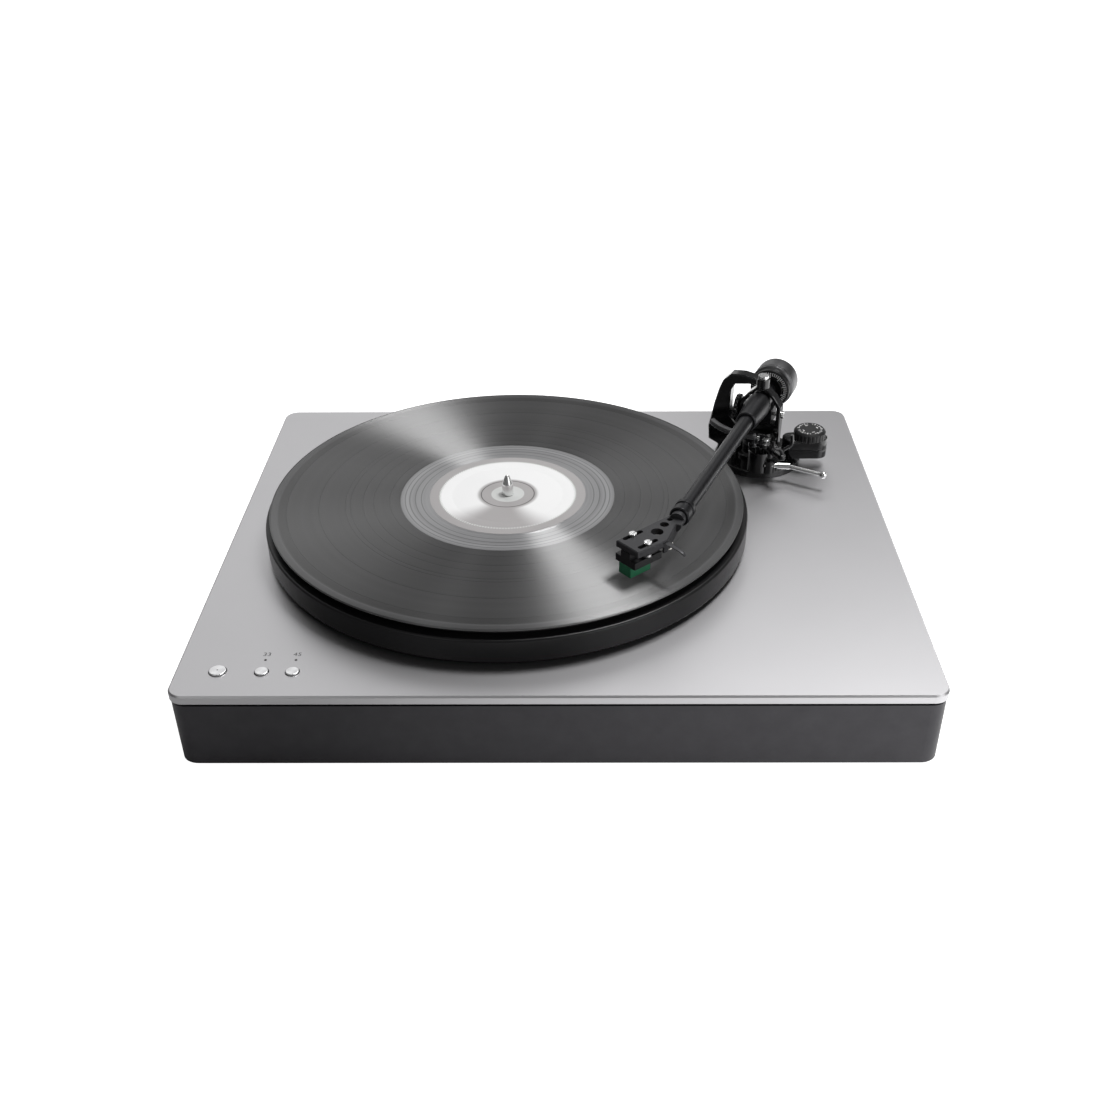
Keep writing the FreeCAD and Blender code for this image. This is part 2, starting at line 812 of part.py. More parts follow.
def cue_lift():
    """The lift cylinder, the rail that it raises under the arm, and the lever that works it."""
    post = (28, 6.8)
    lever_reach = 31.15
    lever_level = 11
    cylinder = Piece("lift_cylinder", LIFT)
    cylinder.pad(5, 15, ring("Dim.lift_reach", 0, 7.8))
    cylinder.bevel(0.6, (0, 0, 1), 20)
    cylinder.pad(5, 9, ring(*post, 5.1))
    cylinder.cut(14, 6, ring(*post, 3))
    cylinder.cut(8, 12, ring("Dim.lift_reach", 0, "3 + Dim.running"))
    cylinder.cut(-12, 9, ring(lever_reach, lever_level, "1.5 + Dim.running"), plane="XZ_Plane")
    rail = Piece("lift_rail", LIFT)
    rail.pad(8.6, 17.4, ring("Dim.lift_reach", 0, 3))
    rail.pad(26, 3, loop_round(("Dim.lift_reach", 0), 5.6, (33, 2.4), 4))
    rail.pad(26, 3, loop_round(("Dim.lift_reach", 0), 5.2, (32.6, -5), 3.4))
    rail.pad(29, 4.5, box(31.6, 35.8, -7.6, -4))
    rail.pad(33, 3.7, sector(34.5, 38.5, -67, -6))
    rail.bevel(0.7, (0, 0, 1), 36.7)
    screws = Piece("rail_screws", LIFT)
    places = ((26.4, -2.6), (30.8, 3.2))
    screws.pad(29, 1.7, *[ring(x, y, 2.2) for x, y in places])
    screws.cut(30.1, 0.6, *[box(x - 2.3, x + 2.3, y - 0.35, y + 0.35) for x, y in places])
    x = f"Dim.pivot_x + {lever_reach} * cos(Dim.lift_heading)"
    y = f"Dim.pivot_y + {lever_reach} * sin(Dim.lift_heading)"
    base = Vector(number(x), number(y), number("Dim.plate_top") + lever_level)
    frame = Placement(base, Rotation(Vector(0, 0, 1), number("Dim.lift_heading") + 90))
    tools = [
        rod("lever_journal", (4, 0, 0), (12.6, 0, 0), 1.5, frame),
        rod("lever_barrel", (12.3, 0, 0), (21, 0, 0), 2.3, frame),
        rod("lever_wand", (19.6, 0, 0), (43.4, -10.7, 0), 1.5, frame),
    ]
    tip = doc.addObject("Part::Sphere", "lever_tip")
    tip.Radius = 2.5
    tip.Placement = frame * Placement(Vector(43.4, -10.7, 0), Rotation())
    join("cue_lever", tools + [tip])


def arm_rest():
    """A low cradle under the place where the arm is parked."""
    rest = Piece("arm_rest", PARK)
    rest.pad(14, 11.4, ring(28.7, -2.6, 3))
    rest.pad(21.4, 4, loop_round((28.7, -2.6), 4, (44, 0), 3.2))
    rest.pad(25.4, 4, box(42.6, 45.4, -2.6, 2.6))
    cradle = outline(
        (-4, 28),
        (4, 28),
        (7.4, 32.5),
        (7.4, 39.2),
        (5.8, 39.2),
        (5.6, 34.5),
        (3, 31.4),
        (-3, 31.4),
        (-5.6, 34.5),
        (-5.8, 39.2),
        (-7.4, 39.2),
        (-7.4, 32.5),
    )
    rest.pad(42.5, 3, cradle, plane="YZ_Plane")


def antiskate():
    level = 90
    housing = Piece("antiskate_housing", PLATE)
    housing.pad(7, 14, loop_round((160.5, level), 7, (178, level), 7))
    housing.bevel(0.8, (0, 0, 1), 21)
    housing.pad(5, 4.4, box(154.5, 166, 84.5, 95.5))
    housing.cut(14.6, 6.4, ring(172, 89, 2))
    knob = Piece("antiskate_knob", place(172, 89, "Dim.plate_top"))
    knob.turn(
        (0, 27.4),
        (9.6, 27.4),
        (11, 26),
        (11, 21.4),
        ("2 - Dim.running", 21.4),
        ("2 - Dim.running", 15),
        (0, 15),
    )
    knob.cut(21.4, 6, ring(11.5, 0, 0.9))
    knob.repeat_upright(24)


def lock_knob():
    """The scalloped knob behind the arch that clamps the arm's height."""
    behind = place(
        "Dim.pivot_x + 20 * sin(Dim.arm_heading)",
        "Dim.pivot_y - 20 * cos(Dim.arm_heading)",
        "Dim.plate_top + 22",
        "Dim.arm_heading",
    )
    knob = Piece("lock_knob", behind)
    knob.turn_along(
        (-17, 0),
        (-17, 7.5),
        (-16, 8.5),
        (-11, 8.5),
        (-10, 7.5),
        (-10, 4),
        (-4.9, 4),
        (-4.9, "2 - Dim.running"),
        (-0.4, "2 - Dim.running"),
        (-0.4, 0),
    )
    knob.cut(-17, 7, ring(0, 9.3, 1.7), plane="YZ_Plane")
    knob.repeat(10)


# The tonearm.


def gimbal():
    """The ring that swings about the upright axis and carries the arm's tilt screws."""
    ring_low = 24.4
    hoop = Piece("gimbal_ring", ARM)
    hoop.pad(
        0,
        "2 * Dim.hoop_half",
        outline(
            (-14.8, ring_low),
            (14.8, ring_low),
            (14.8, 43),
            (9.6, 50),
            (4.4, 54.7),
            (-4.4, 54.7),
            (-9.6, 50),
            (-14.8, 43),
        ),
        outline(
            (-11.8, 30),
            (11.8, 30),
            (11.8, 42.2),
            (7.6, 48.6),
            (3.6, 53.2),
            (-3.6, 53.2),
            (-7.6, 48.6),
            (-11.8, 42.2),
        ),
        plane="YZ_Plane",
        both_ways=True,
    )
    hoop.bevel(0.5, (1, 0, 0), "Dim.hoop_half")
    hoop.bevel(0.5, (-1, 0, 0), "Dim.hoop_half")
    hoop.turn((0, 12.4), (3.05, 12.4), (3.05, 27), (0, 27))
    hoop.pad(10, 15, box(-3, 3, 13.4, 14.8))
    hoop.cut(53, 2, ring(0, 0, 1.5))
    hoop.cut(-20, 40, ring(0, "Dim.tilt_axis", 1.5), plane="XZ_Plane")
    across = place("Dim.pivot_x", "Dim.pivot_y", "Dim.plate_top + Dim.tilt_axis", "Dim.arm_heading + 90")
    screws = Piece("pivot_screws", across)
    for side in (1, -1):
        tip = ((8.2, 0), (8.2, 1.25), (11.8, 1.25), (11.8, 1.5))
        head = ((14.8, 1.5), (14.8, 2.6), (16.6, 2.6), (16.6, 0))
        screws.turn_along(*[(side * x, radius) for x, radius in tip + head])
    screws.cut(15.9, 0.7, box(-3, 3, -0.35, 0.35), plane="YZ_Plane")
    screws.cut(-16.6, 0.7, box(-3, 3, -0.35, 0.35), plane="YZ_Plane")


def arm_tube():
    sleeve = Piece("arm_sleeve", ARM_TUBE)
    sleeve.turn_along(
        (-12, 0),
        (-12, 6),
        (-10, 7),
        (5.6, 7),
        (8, 8.6),
        (14, 8.6),
        (37.2, 7),
        (38, 6.2),
        (38, "Dim.tube_tail"),
        (22, "Dim.tube_tail"),
        (22, 0),
    )
    sleeve.pad(-13.5, 10.5, box(-7, 7, -9.3, 9.3))
    sleeve.cut(-12, 24, ring(0, "Dim.tilt_axis - Dim.arm_axis", "1.25 + Dim.running"), plane="XZ_Plane")
    tube = Piece("arm_tube", ARM_TUBE)
    tube.turn_along(
        (22, 4.2),
        (22, "Dim.tube_tail"),
        (161, "Dim.tube_nose"),
        (168, "Dim.tube_nose"),
        (168, 3.6),
        (161, 3.6),
    )
    collar = Piece("headshell_collar", ARM_TUBE)
    bore = "Dim.tube_nose + Dim.running"
    collar.turn_along(
        (161.3, bore),
        (161.3, 5.6),
        (162, 6.3),
        (165.2, 6.3),
        (165.8, 5.5),
        (167.4, 5.5),
        (168, 6.3),
        (173.8, 6.3),
        (174.5, 5.6),
        (174.5, bore),
    )


def headshell():
    """The flat headshell, its screws and its finger lift. Heights count from the arm's axis."""
    slots = (-2.5, 10.2)
    screw_along = 34
    shell = Piece("headshell", ARM_TUBE)
    shell.turn_along((168, 0), (168, "Dim.tube_nose"), (184, "Dim.tube_nose"), (184, 0))
    plan = ((1.9, -5.3), (44.9, -4.6), (44.9, 13.6), (27, 14.5), (22.5, 14.5), (0.3, 1.5))
    shell.pad(-3, 4, head_outline(*plan))
    shell.bevel(0.6, (0, 0, 1), 1)
    shell.pad(-7, 4, head_outline((0.3, 1.5), (1.6, 0), (23, 12.9), (25, 12.9), (25, 14.5), (22.5, 14.5)))
    holes = [head_ring(20.8, 3.9, 3.7), head_ring(11.9, 0.7, 2.7), head_ring(5.6, -1.4, 1.75)]
    holes += [loop_round(at_head(28, across), 1.5, at_head(40, across), 1.5) for across in slots]
    shell.cut(-3, 4, *holes)
    shell.cut(1, 5, box(178.2, 185, -6, 6))
    screws = Piece("headshell_screws", ARM_TUBE)
    screws.pad(1, 1.5, *[head_ring(screw_along, across, 2.3) for across in slots])
    screws.pad(-7, 8, *[head_ring(screw_along, across, 1.25) for across in slots])
    screws.pad(-6.8, 1.8, *[head_ring(screw_along, across, 2.4) for across in slots])
    mark_ends = (screw_along - 2.4, screw_along + 2.4)
    marks = [head_box(*mark_ends, across - 0.35, across + 0.35) for across in slots]
    screws.cut(1.9, 0.6, *marks)
    finger = Piece("finger_lift", ARM_TUBE)
    finger.pad(-1.2, 1.2, head_outline((21.3, 14.5), (25.3, 14.5), (24.4, 28.6), (22.2, 28.6)))
    finger.pad(-3.2, 3.2, head_ring(23.3, 28.8, 1.5))


def cartridge():
    slots = (-2.5, 10.2)
    body = Piece("cartridge_body", ARM_TUBE)
    lugs = head_box(29, 39, -5.2, 12.9)
    body.pad(-5, 2, lugs, *[head_ring(34, across, 1.3) for across in slots])
    body.pad(-11.5, 8.5, head_box(24.5, 45.5, 0, 7.7))
    body.pad(-11.5, 4.5, head_box(24.5, 45.5, -4.4, 12.1))
    block = Piece("stylus_block", ARM_TUBE)
    block.pad(-18.4, 6.9, head_box(30, 45.8, -1.2, 8.9))
    block.cut(-18.4, 2.9, head_box(36, 42.4, 1, 6.7))
    frame = frame_of("Dim.arm_heading") * Placement(Vector(0, 0, number("Dim.arm_axis")), Rotation())
    shank = rod("shank", (*at_head(36.2, 3.85), -18), (*at_head(40, 3.85), -19.9), 0.35, frame)
    tip = doc.addObject("Part::Cone", "needle")
    tip.Radius1 = 0.06
    tip.Radius2 = 0.3
    tip.Height = 1
    tip.Placement = frame * Placement(Vector(*at_head(39.9, 3.85), -20.7), Rotation())
    join("cantilever", [shank, tip])
    wires = []
    wire_radius = 0.35
    for wire in range(4):
        spread = 2 * (wire - 1.5)
        route = (
            (*at_head(24, 3.85 + spread), -9),
            (*at_head(18, 3.6 + spread), -10),
            (*at_head(11.5, 1.6 + 0.7 * spread), -7.2),
            (184.5, 0.8 * wire - 3.3, -3.7),
        )
        for run in range(3):
            wires.append(rod(f"wire_{wire}_{run}", route[run], route[run + 1], wire_radius, frame))
        for bend in (1, 2):
            ball = doc.addObject("Part::Sphere", f"wire_{wire}_bend_{bend}")
            ball.Radius = wire_radius
            ball.Placement = frame * Placement(Vector(*route[bend]), Rotation())
            wires.append(ball)
    join("cartridge_wires", wires)


def counterweight():
    """The weight turns on a bush that slides on the stub behind the pivot, with a scale ring in front."""
    stub = Piece("counterweight_stub", ARM_TUBE)
    stub.turn_along((-12, 0), (-12, "Dim.stub_radius"), (-47, "Dim.stub_radius"), (-47.8, 3.6), (-47.8, 0))
    bore = "Dim.stub_radius + Dim.running"
    bush = Piece("counterweight_bush", ARM_TUBE)
    bush.turn_along((-19.5, bore), (-19.5, "Dim.bush_radius"), (-39.6, "Dim.bush_radius"), (-39.6, bore))
    hub = "Dim.bush_radius + Dim.running"
    weight = Piece("counterweight", ARM_TUBE)
    weight.turn_along(
        (-23.6, hub),
        (-23.6, "Dim.weight_radius - 0.8"),
        (-24.4, "Dim.weight_radius"),
        (-39.2, "Dim.weight_radius"),
        (-40, "Dim.weight_radius - 0.8"),
        (-40, hub),
    )
    scale = Piece("scale_ring", ARM_TUBE)
    scale.turn_along((-18.7, hub), (-18.7, 13.2), (-19.5, 14), (-23.3, 14), (-23.3, hub))


def write_parts():
    """Checks the whole document, and writes each sub-part to a file of its own."""
    doc.recompute()
    for item in doc.Objects:
        if any(state in ("Invalid", "Error") for state in item.State):
            raise RuntimeError(f"{item.Name} did not recompute")
    os.makedirs("parts", exist_ok=True)
    for item in pieces:
        shape = item.Shape
        if shape.isNull() or not shape.isValid() or shape.Volume <= 0:
            raise RuntimeError(f"{item.Label} is not a valid solid")
        shape.exportStep(f"parts/{item.Label}.step")
        low = shape.BoundBox
        print(
            f"{item.Label}: {len(shape.Solids)} solids, {shape.Volume:.0f} mm3, "
            f"z {low.ZMin:.2f} to {low.ZMax:.2f}"
        )


top_plate()
plinth_shell()
bottom_cover()
case_screws()
feet()
rear_connectors()
main_bearing()
platter_assembly()
motor()
controls()
arm_base()
bearing_arch()
cue_lift()
arm_rest()
antiskate()
lock_knob()
gimbal()
arm_tube()
headshell()
cartridge()
counterweight()
write_parts()
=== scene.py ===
import json
import math

import bmesh
import bpy
from mathutils import Matrix, Vector

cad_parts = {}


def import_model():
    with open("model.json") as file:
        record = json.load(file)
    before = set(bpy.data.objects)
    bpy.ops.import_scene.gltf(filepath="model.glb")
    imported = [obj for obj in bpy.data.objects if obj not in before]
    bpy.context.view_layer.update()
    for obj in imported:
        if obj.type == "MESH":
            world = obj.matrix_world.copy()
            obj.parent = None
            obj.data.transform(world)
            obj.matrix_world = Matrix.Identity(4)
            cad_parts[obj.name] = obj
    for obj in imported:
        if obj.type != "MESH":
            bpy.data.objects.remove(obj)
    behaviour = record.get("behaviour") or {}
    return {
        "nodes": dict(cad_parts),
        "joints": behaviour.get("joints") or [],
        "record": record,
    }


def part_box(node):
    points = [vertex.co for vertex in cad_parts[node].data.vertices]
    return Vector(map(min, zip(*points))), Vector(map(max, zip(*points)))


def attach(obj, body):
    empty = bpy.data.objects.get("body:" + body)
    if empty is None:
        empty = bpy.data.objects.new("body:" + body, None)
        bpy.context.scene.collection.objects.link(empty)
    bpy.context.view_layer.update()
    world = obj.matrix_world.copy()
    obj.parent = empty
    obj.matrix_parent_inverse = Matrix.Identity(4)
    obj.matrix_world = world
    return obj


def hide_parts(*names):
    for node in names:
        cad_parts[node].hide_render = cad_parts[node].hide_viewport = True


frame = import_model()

# Looks for a belt-driven record player with a gimbal tonearm. Everything is in metres, in the frame of
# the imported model: +X to the right, +Y to the back, +Z up, standing on z = 0.

MM = 0.001
MICRON = MM / 1000
NODES = frame["nodes"]
JOINTS = {joint["name"]: joint for joint in frame["joints"]}
BODY_OF = {
    node: body
    for body, members in frame["record"]["behaviour"]["bodies"].items()
    for node in members
}
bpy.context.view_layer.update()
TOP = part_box("top_plate")[1].z
UP = Vector((0, 0, 1))

# The tonearm's own frame: X runs along the arm from the pivot to the needle, at the tube's middle height.
PIVOT = Vector(JOINTS["arm_swing"]["pos_m"])
ALONG = Vector(JOINTS["collar_turn"]["axis"]).normalized()
SIDE = UP.cross(ALONG)
TUBE_HEIGHT = JOINTS["collar_turn"]["pos_m"][2]
ARM = Matrix(
    (
        (ALONG.x, SIDE.x, 0, PIVOT.x),
        (ALONG.y, SIDE.y, 0, PIVOT.y),
        (0, 0, 1, TUBE_HEIGHT),
        (0, 0, 0, 1),
    )
)
ARM_AXIS = ARM @ Matrix.Rotation(math.pi / 2, 4, "Y")


def upright(joint):
    """A frame on a joint's upright axis, with its zero on the floor."""
    x, y = JOINTS[joint]["pos_m"][:2]
    return Matrix.Translation((x, y, 0))


SPINDLE = upright("platter_spin")
HEADSHELL_OFFSET = math.radians(26.4)
HEADSHELL = ARM @ Matrix.Translation((176 * MM, 0, 0)) @ Matrix.Rotation(-HEADSHELL_OFFSET, 4, "Z")


# Meshes.


def new_object(name, bm, where=Matrix.Identity(4), sharp=35):
    """An object made from a bmesh, smooth except across edges that turn more than an angle in degrees."""
    bmesh.ops.recalc_face_normals(bm, faces=bm.faces)
    mesh = bpy.data.meshes.new(name)
    bm.to_mesh(mesh)
    bm.free()
    mesh.shade_smooth()
    mesh.set_sharp_from_angle(angle=math.radians(sharp))
    piece = bpy.data.objects.new(name, mesh)
    bpy.context.scene.collection.objects.link(piece)
    piece.matrix_world = where
    return piece


def soften(points, reach, steps=4, closed=False):
    """Rounds each corner of a profile with a short curve."""
    rounded = []
    for i, point in enumerate(points):
        if not closed and i in (0, len(points) - 1):
            rounded.append(tuple(point))
            continue
        here = Vector(point)
        before = Vector(points[i - 1]) - here
        after = Vector(points[(i + 1) % len(points)]) - here
        start = here + before.normalized() * min(reach, 0.45 * before.length)
        end = here + after.normalized() * min(reach, 0.45 * after.length)
        for step in range(steps + 1):
            t = step / steps
            rounded.append(tuple((1 - t) ** 2 * start + 2 * t * (1 - t) * here + t**2 * end))
    return rounded


def lathe(name, profile, where, steps=96, closed=True, sharp=35):
    """A solid of revolution about the local Z. A profile point is a radius and a height."""
    bm = bmesh.new()
    rings = []
    for radius, height in profile:
        if radius < 1e-7:
            rings.append([bm.verts.new((0, 0, height))])
            continue
        turns = [2 * math.pi * i / steps for i in range(steps)]
        rings.append([bm.verts.new((radius * math.cos(a), radius * math.sin(a), height)) for a in turns])
    pairs = list(zip(rings, rings[1:]))
    if closed:
        pairs.append((rings[-1], rings[0]))
    for lower, upper in pairs:
        for i in range(steps):
            corners = [lower[k % len(lower)] for k in (i, (i + 1) % steps)]
            corners += [upper[k % len(upper)] for k in ((i + 1) % steps, i)]
            distinct = list(dict.fromkeys(corners))
            if len(distinct) > 2:
                bm.faces.new(distinct)
    return new_object(name, bm, where, sharp)


def add_prism(bm, outline, low, high, edge, segments=2):
    """Adds an upright prism with softened edges to a bmesh."""
    base = bm.faces.new([bm.verts.new((x, y, low)) for x, y in outline])
    grown = bmesh.ops.extrude_face_region(bm, geom=[base])["geom"]
    raised = [part for part in grown if isinstance(part, bmesh.types.BMVert)]
    bmesh.ops.translate(bm, verts=raised, vec=(0, 0, high - low))
    if edge > 0:
        edges = {e for vertex in raised for e in vertex.link_edges} | set(base.edges)
        bmesh.ops.bevel(bm, geom=list(edges), offset=edge, segments=segments, profile=0.5, affect="EDGES")


def rectangle(x, y, width, depth, turn=0.0):
    """The corners of a rectangle about a point, turned by an angle."""
    corners = [(-width, -depth), (width, -depth), (width, depth), (-width, depth)]
    cosine, sine = math.cos(turn), math.sin(turn)
    return [(x + (a * cosine - b * sine) / 2, y + (a * sine + b * cosine) / 2) for a, b in corners]


def tick(middle, length, width, turn):
    """The corners of a mark that points away from the origin."""
    return rectangle(middle * math.cos(turn), middle * math.sin(turn), length, width, turn)


def in_mm(outline):
    """An outline that is written in millimetres."""
    return [(x * MM, y * MM) for x, y in outline]


def disc(x, y, radius, steps):
    """The corners of a many-sided outline that reads as a circle."""
    turns = [2 * math.pi * i / steps for i in range(steps)]
    return [(x + radius * math.cos(a), y + radius * math.sin(a)) for a in turns]


def strand(name, points, radius, where):
    """A smooth round wire through control points, with closed ends."""
    curve = bpy.data.curves.new(name, "CURVE")
    curve.dimensions = "3D"
    curve.bevel_depth = radius
    curve.bevel_resolution = 5
    curve.use_fill_caps = True
    curve.resolution_u = 10
    spline = curve.splines.new("NURBS")
    spline.points.add(len(points) - 1)
    for point, place in zip(spline.points, points):
        point.co = (*place, 1)
    spline.order_u = 3
    spline.use_endpoint_u = True
    piece = bpy.data.objects.new(name, curve)
    bpy.context.scene.collection.objects.link(piece)
    piece.matrix_world = where
    return piece


def settle(piece, body, slot, material, *nodes):
    """Gives a new piece its material, its body and the CAD nodes that it stands for. The slot is not
    used.
    """
    piece.data.materials.clear()
    piece.data.materials.append(material)
    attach(piece, body)
    if nodes:
        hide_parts(*nodes)
    return piece


def clean_mesh_group():
    """Geometry nodes that weld a CAD node's split corners and forget its stored normals."""
    group = bpy.data.node_groups.new("weld_and_smooth", "GeometryNodeTree")
    group.interface.new_socket("Geometry", in_out="INPUT", socket_type="NodeSocketGeometry")
    group.interface.new_socket("Geometry", in_out="OUTPUT", socket_type="NodeSocketGeometry")
    chain = [group.nodes.new(kind) for kind in (
        "NodeGroupInput",
        "GeometryNodeRemoveAttribute",
        "GeometryNodeMergeByDistance",
        "GeometryNodeSetShadeSmooth",
        "NodeGroupOutput",
    )]
    chain[1].inputs["Name"].default_value = "custom_normal"
    chain[2].inputs["Distance"].default_value = 1e-6
    for first, second in zip(chain, chain[1:]):
        group.links.new(first.outputs["Geometry"], second.inputs["Geometry"])
    return group


WELD = clean_mesh_group()


def refine(node, edge):
    """Softens a CAD node's sharp edges with modifiers, which leave its own mesh as it is."""
    part = NODES[node]
    part.modifiers.new("weld", "NODES").node_group = WELD
    flat = part.modifiers.new("flat_faces", "DECIMATE")
    flat.decimate_type = "DISSOLVE"
    flat.angle_limit = math.radians(0.4)
    round_edges = part.modifiers.new("edges", "BEVEL")
    round_edges.width = edge * MM
    round_edges.segments = 3
    round_edges.limit_method = "ANGLE"
    round_edges.angle_limit = math.radians(32)
    weighted = part.modifiers.new("normals", "WEIGHTED_NORMAL")
    weighted.keep_sharp = True


# Materials. Coordinates are the object's own, in metres, so a noise scale is in cells per metre.


class Look:
    """A material's node tree, with the steps that the finishes share."""

    def __init__(self, name, color, roughness, metallic=0.0, **uniform):
        self.material = bpy.data.materials.new(name)
        self.material.use_nodes = True
        self.tree = self.material.node_tree
        self.shader = self.tree.nodes["Principled BSDF"]
        self.color = color
        self.shader.inputs["Base Color"].default_value = (*color, 1)
        self.shader.inputs["Metallic"].default_value = metallic
        self.shader.inputs["Roughness"].default_value = roughness
        for socket, value in uniform.items():
            self.shader.inputs[socket.replace("_", " ")].default_value = value
        self.place = self.add("ShaderNodeTexCoord").outputs["Object"]

    def add(self, kind, **settings):
        """Adds a shader node."""
        node = self.tree.nodes.new(kind)
        for key, value in settings.items():
            setattr(node, key, value)
        return node

    def join(self, source, target):
        """Links a field to a socket, or sets the socket to a value."""
        if isinstance(source, bpy.types.NodeSocket):
            self.tree.links.new(source, target)
        else:
            target.default_value = source

    def noise(self, scale, detail=2.0, stretch=None):
        """A noise field, from 0 to 1."""
        place = self.place
        if stretch:
            mapping = self.add("ShaderNodeMapping")
            self.join(place, mapping.inputs["Vector"])
            mapping.inputs["Scale"].default_value = stretch
            place = mapping.outputs["Vector"]
        node = self.add("ShaderNodeTexNoise")
        self.join(place, node.inputs["Vector"])
        node.inputs["Scale"].default_value = scale
        node.inputs["Detail"].default_value = detail
        return node.outputs["Fac"]

    def rings(self, radius, scale, detail):
        """A noise field that depends on a radius alone."""
        node = self.add("ShaderNodeTexNoise", noise_dimensions="1D")
        self.join(radius, node.inputs["W"])
        node.inputs["Scale"].default_value = scale
        node.inputs["Detail"].default_value = detail
        return node.outputs["Fac"]

    def calculate(self, operation, first, second=0.0, third=0.0):
        """One step of arithmetic on numbers or fields."""
        node = self.add("ShaderNodeMath", operation=operation)
        for source, target in zip((first, second, third), node.inputs):
            self.join(source, target)
        return node.outputs[0]

    def spread(self, value, low, high, start=0.0, end=1.0, smooth=False):
        """Maps a range of a field to another range."""
        node = self.add("ShaderNodeMapRange")
        if smooth:
            node.interpolation_type = "SMOOTHSTEP"
        sources = (value, start, end, low, high)
        for source, target in zip(sources, node.inputs):
            self.join(source, target)
        return node.outputs["Result"]

    def blend(self, factor, first, second):
        """A colour between two colours."""
        node = self.add("ShaderNodeMix", data_type="RGBA")
        self.join(factor, node.inputs["Factor"])
        for value, socket in ((first, "A"), (second, "B")):
            target = next(s for s in node.inputs if s.name == socket and s.type == "RGBA")
            self.join((*value, 1) if isinstance(value, tuple) else value, target)
        return next(s for s in node.outputs if s.type == "RGBA")

    def shaded(self, share):
        """The base colour scaled by a share."""
        return tuple(channel * share for channel in self.color)

    def paint(self, color):
        """Sets the base colour to a field."""
        self.join(color, self.shader.inputs["Base Color"])
        return self

    def mottle(self, scale, amount):
        """A gentle, large-scale variation of the base colour."""
        factor = self.noise(scale, 3)
        return self.paint(self.blend(factor, self.shaded(1 - amount), self.shaded(1 + amount)))

    def roughen(self, field, low, high):
        """Lets a field vary the roughness within a range."""
        self.join(self.spread(field, low, high), self.shader.inputs["Roughness"])
        return self

    def bump(self, height, depth):
        """Raises the surface by a field times a depth in metres."""
        node = self.add("ShaderNodeBump")
        node.inputs["Strength"].default_value = 1.0
        node.inputs["Distance"].default_value = depth
        self.join(height, node.inputs["Height"])
        self.join(node.outputs["Normal"], self.shader.inputs["Normal"])

    def radius(self, where=(0, 0, 0)):
        """The distance from an upright axis through a point."""
        shift = self.add("ShaderNodeVectorMath", operation="SUBTRACT")
        self.join(self.place, shift.inputs[0])
        shift.inputs[1].default_value = where
        flat = self.add("ShaderNodeVectorMath", operation="MULTIPLY")
        self.join(shift.outputs[0], flat.inputs[0])
        flat.inputs[1].default_value = (1, 1, 0)
        length = self.add("ShaderNodeVectorMath", operation="LENGTH")
        self.join(flat.outputs[0], length.inputs[0])
        return length.outputs["Value"]

    def heading(self):
        """The angle about the object's own upright axis, in radians."""
        parts = self.add("ShaderNodeSeparateXYZ")
        self.join(self.place, parts.inputs[0])
        return self.calculate("ARCTAN2", parts.outputs["Y"], parts.outputs["X"])


def blasted_metal(name, color, roughness):
    """Bead-blasted, anodised metal: a fine even grain and a faint cloudiness."""
    look = Look(name, color, metallic=1.0, roughness=roughness)
    look.mottle(14, 0.03)
    fine = look.noise(2600, 3)
    look.roughen(fine, roughness - 0.05, roughness + 0.07)
    look.bump(fine, 6 * MICRON)
    return look.material


def satin_metal(name, color, roughness=0.38, metallic=0.75):
    """Dark anodised or painted metal with a soft sheen."""
    look = Look(name, color, metallic=metallic, roughness=roughness)
    look.mottle(90, 0.12)
    look.roughen(look.noise(420, 3), roughness - 0.05, roughness + 0.08)
    look.bump(look.noise(3200, 2), 3 * MICRON)
    return look.material


def polished_black(name):
    """Black lacquer over cast metal."""
    look = Look(name, (0.004, 0.004, 0.0045), roughness=0.16, Coat_Weight=0.5, Coat_Roughness=0.05)
    look.mottle(160, 0.25)
    look.roughen(look.noise(260, 4), 0.12, 0.24)
    look.bump(look.noise(700, 2), 2 * MICRON)
    return look.material


def moulded_black(name):
    """Moulded plastic with a fine spark texture."""
    look = Look(name, (0.007, 0.007, 0.0075), roughness=0.42)
    look.mottle(120, 0.2)
    fine = look.noise(2400, 4)
    look.roughen(fine, 0.34, 0.52)
    look.bump(fine, 8 * MICRON)
    return look.material


def bright_metal(name, color=(0.72, 0.72, 0.73), roughness=0.16):
    """Polished, plated steel with faint handling marks."""
    look = Look(name, color, metallic=1.0, roughness=roughness)
    look.mottle(300, 0.05)
    look.roughen(look.noise(1500, 5, stretch=(1, 1, 0.2)), roughness - 0.06, roughness + 0.1)
    look.bump(look.noise(2200, 2), 1.5 * MICRON)
    return look.material


def turned_metal(name, color, where, roughness):
    """Metal turned on a lathe: fine rings about an upright axis."""
    pitch = 0.35 * MM
    look = Look(name, color, metallic=1.0, roughness=roughness, Anisotropic=0.4)
    lines = look.rings(look.radius(where), 1 / pitch, 3)
    look.paint(look.blend(lines, look.shaded(0.88), look.shaded(1.08)))
    look.roughen(lines, roughness - 0.06, roughness + 0.08)
    look.bump(lines, 6 * MICRON)
    return look.material


def rubber(name, color=(0.014, 0.014, 0.014)):
    """Moulded rubber: dull, with a dusty grain."""
    look = Look(name, color, roughness=0.75)
    look.mottle(60, 0.3)
    look.roughen(look.noise(1200, 4), 0.65, 0.85)
    look.bump(look.noise(1800, 4), 20 * MICRON)
    return look.material


TRACK_GAPS = [gap * MM for gap in (140.15, 120.1, 103.4, 100.3, 92.3, 85.6, 75.4, 69)]
RUN_OUT_LINES = [line * MM for line in (65.6, 62.8, 59.2, 55.4)]


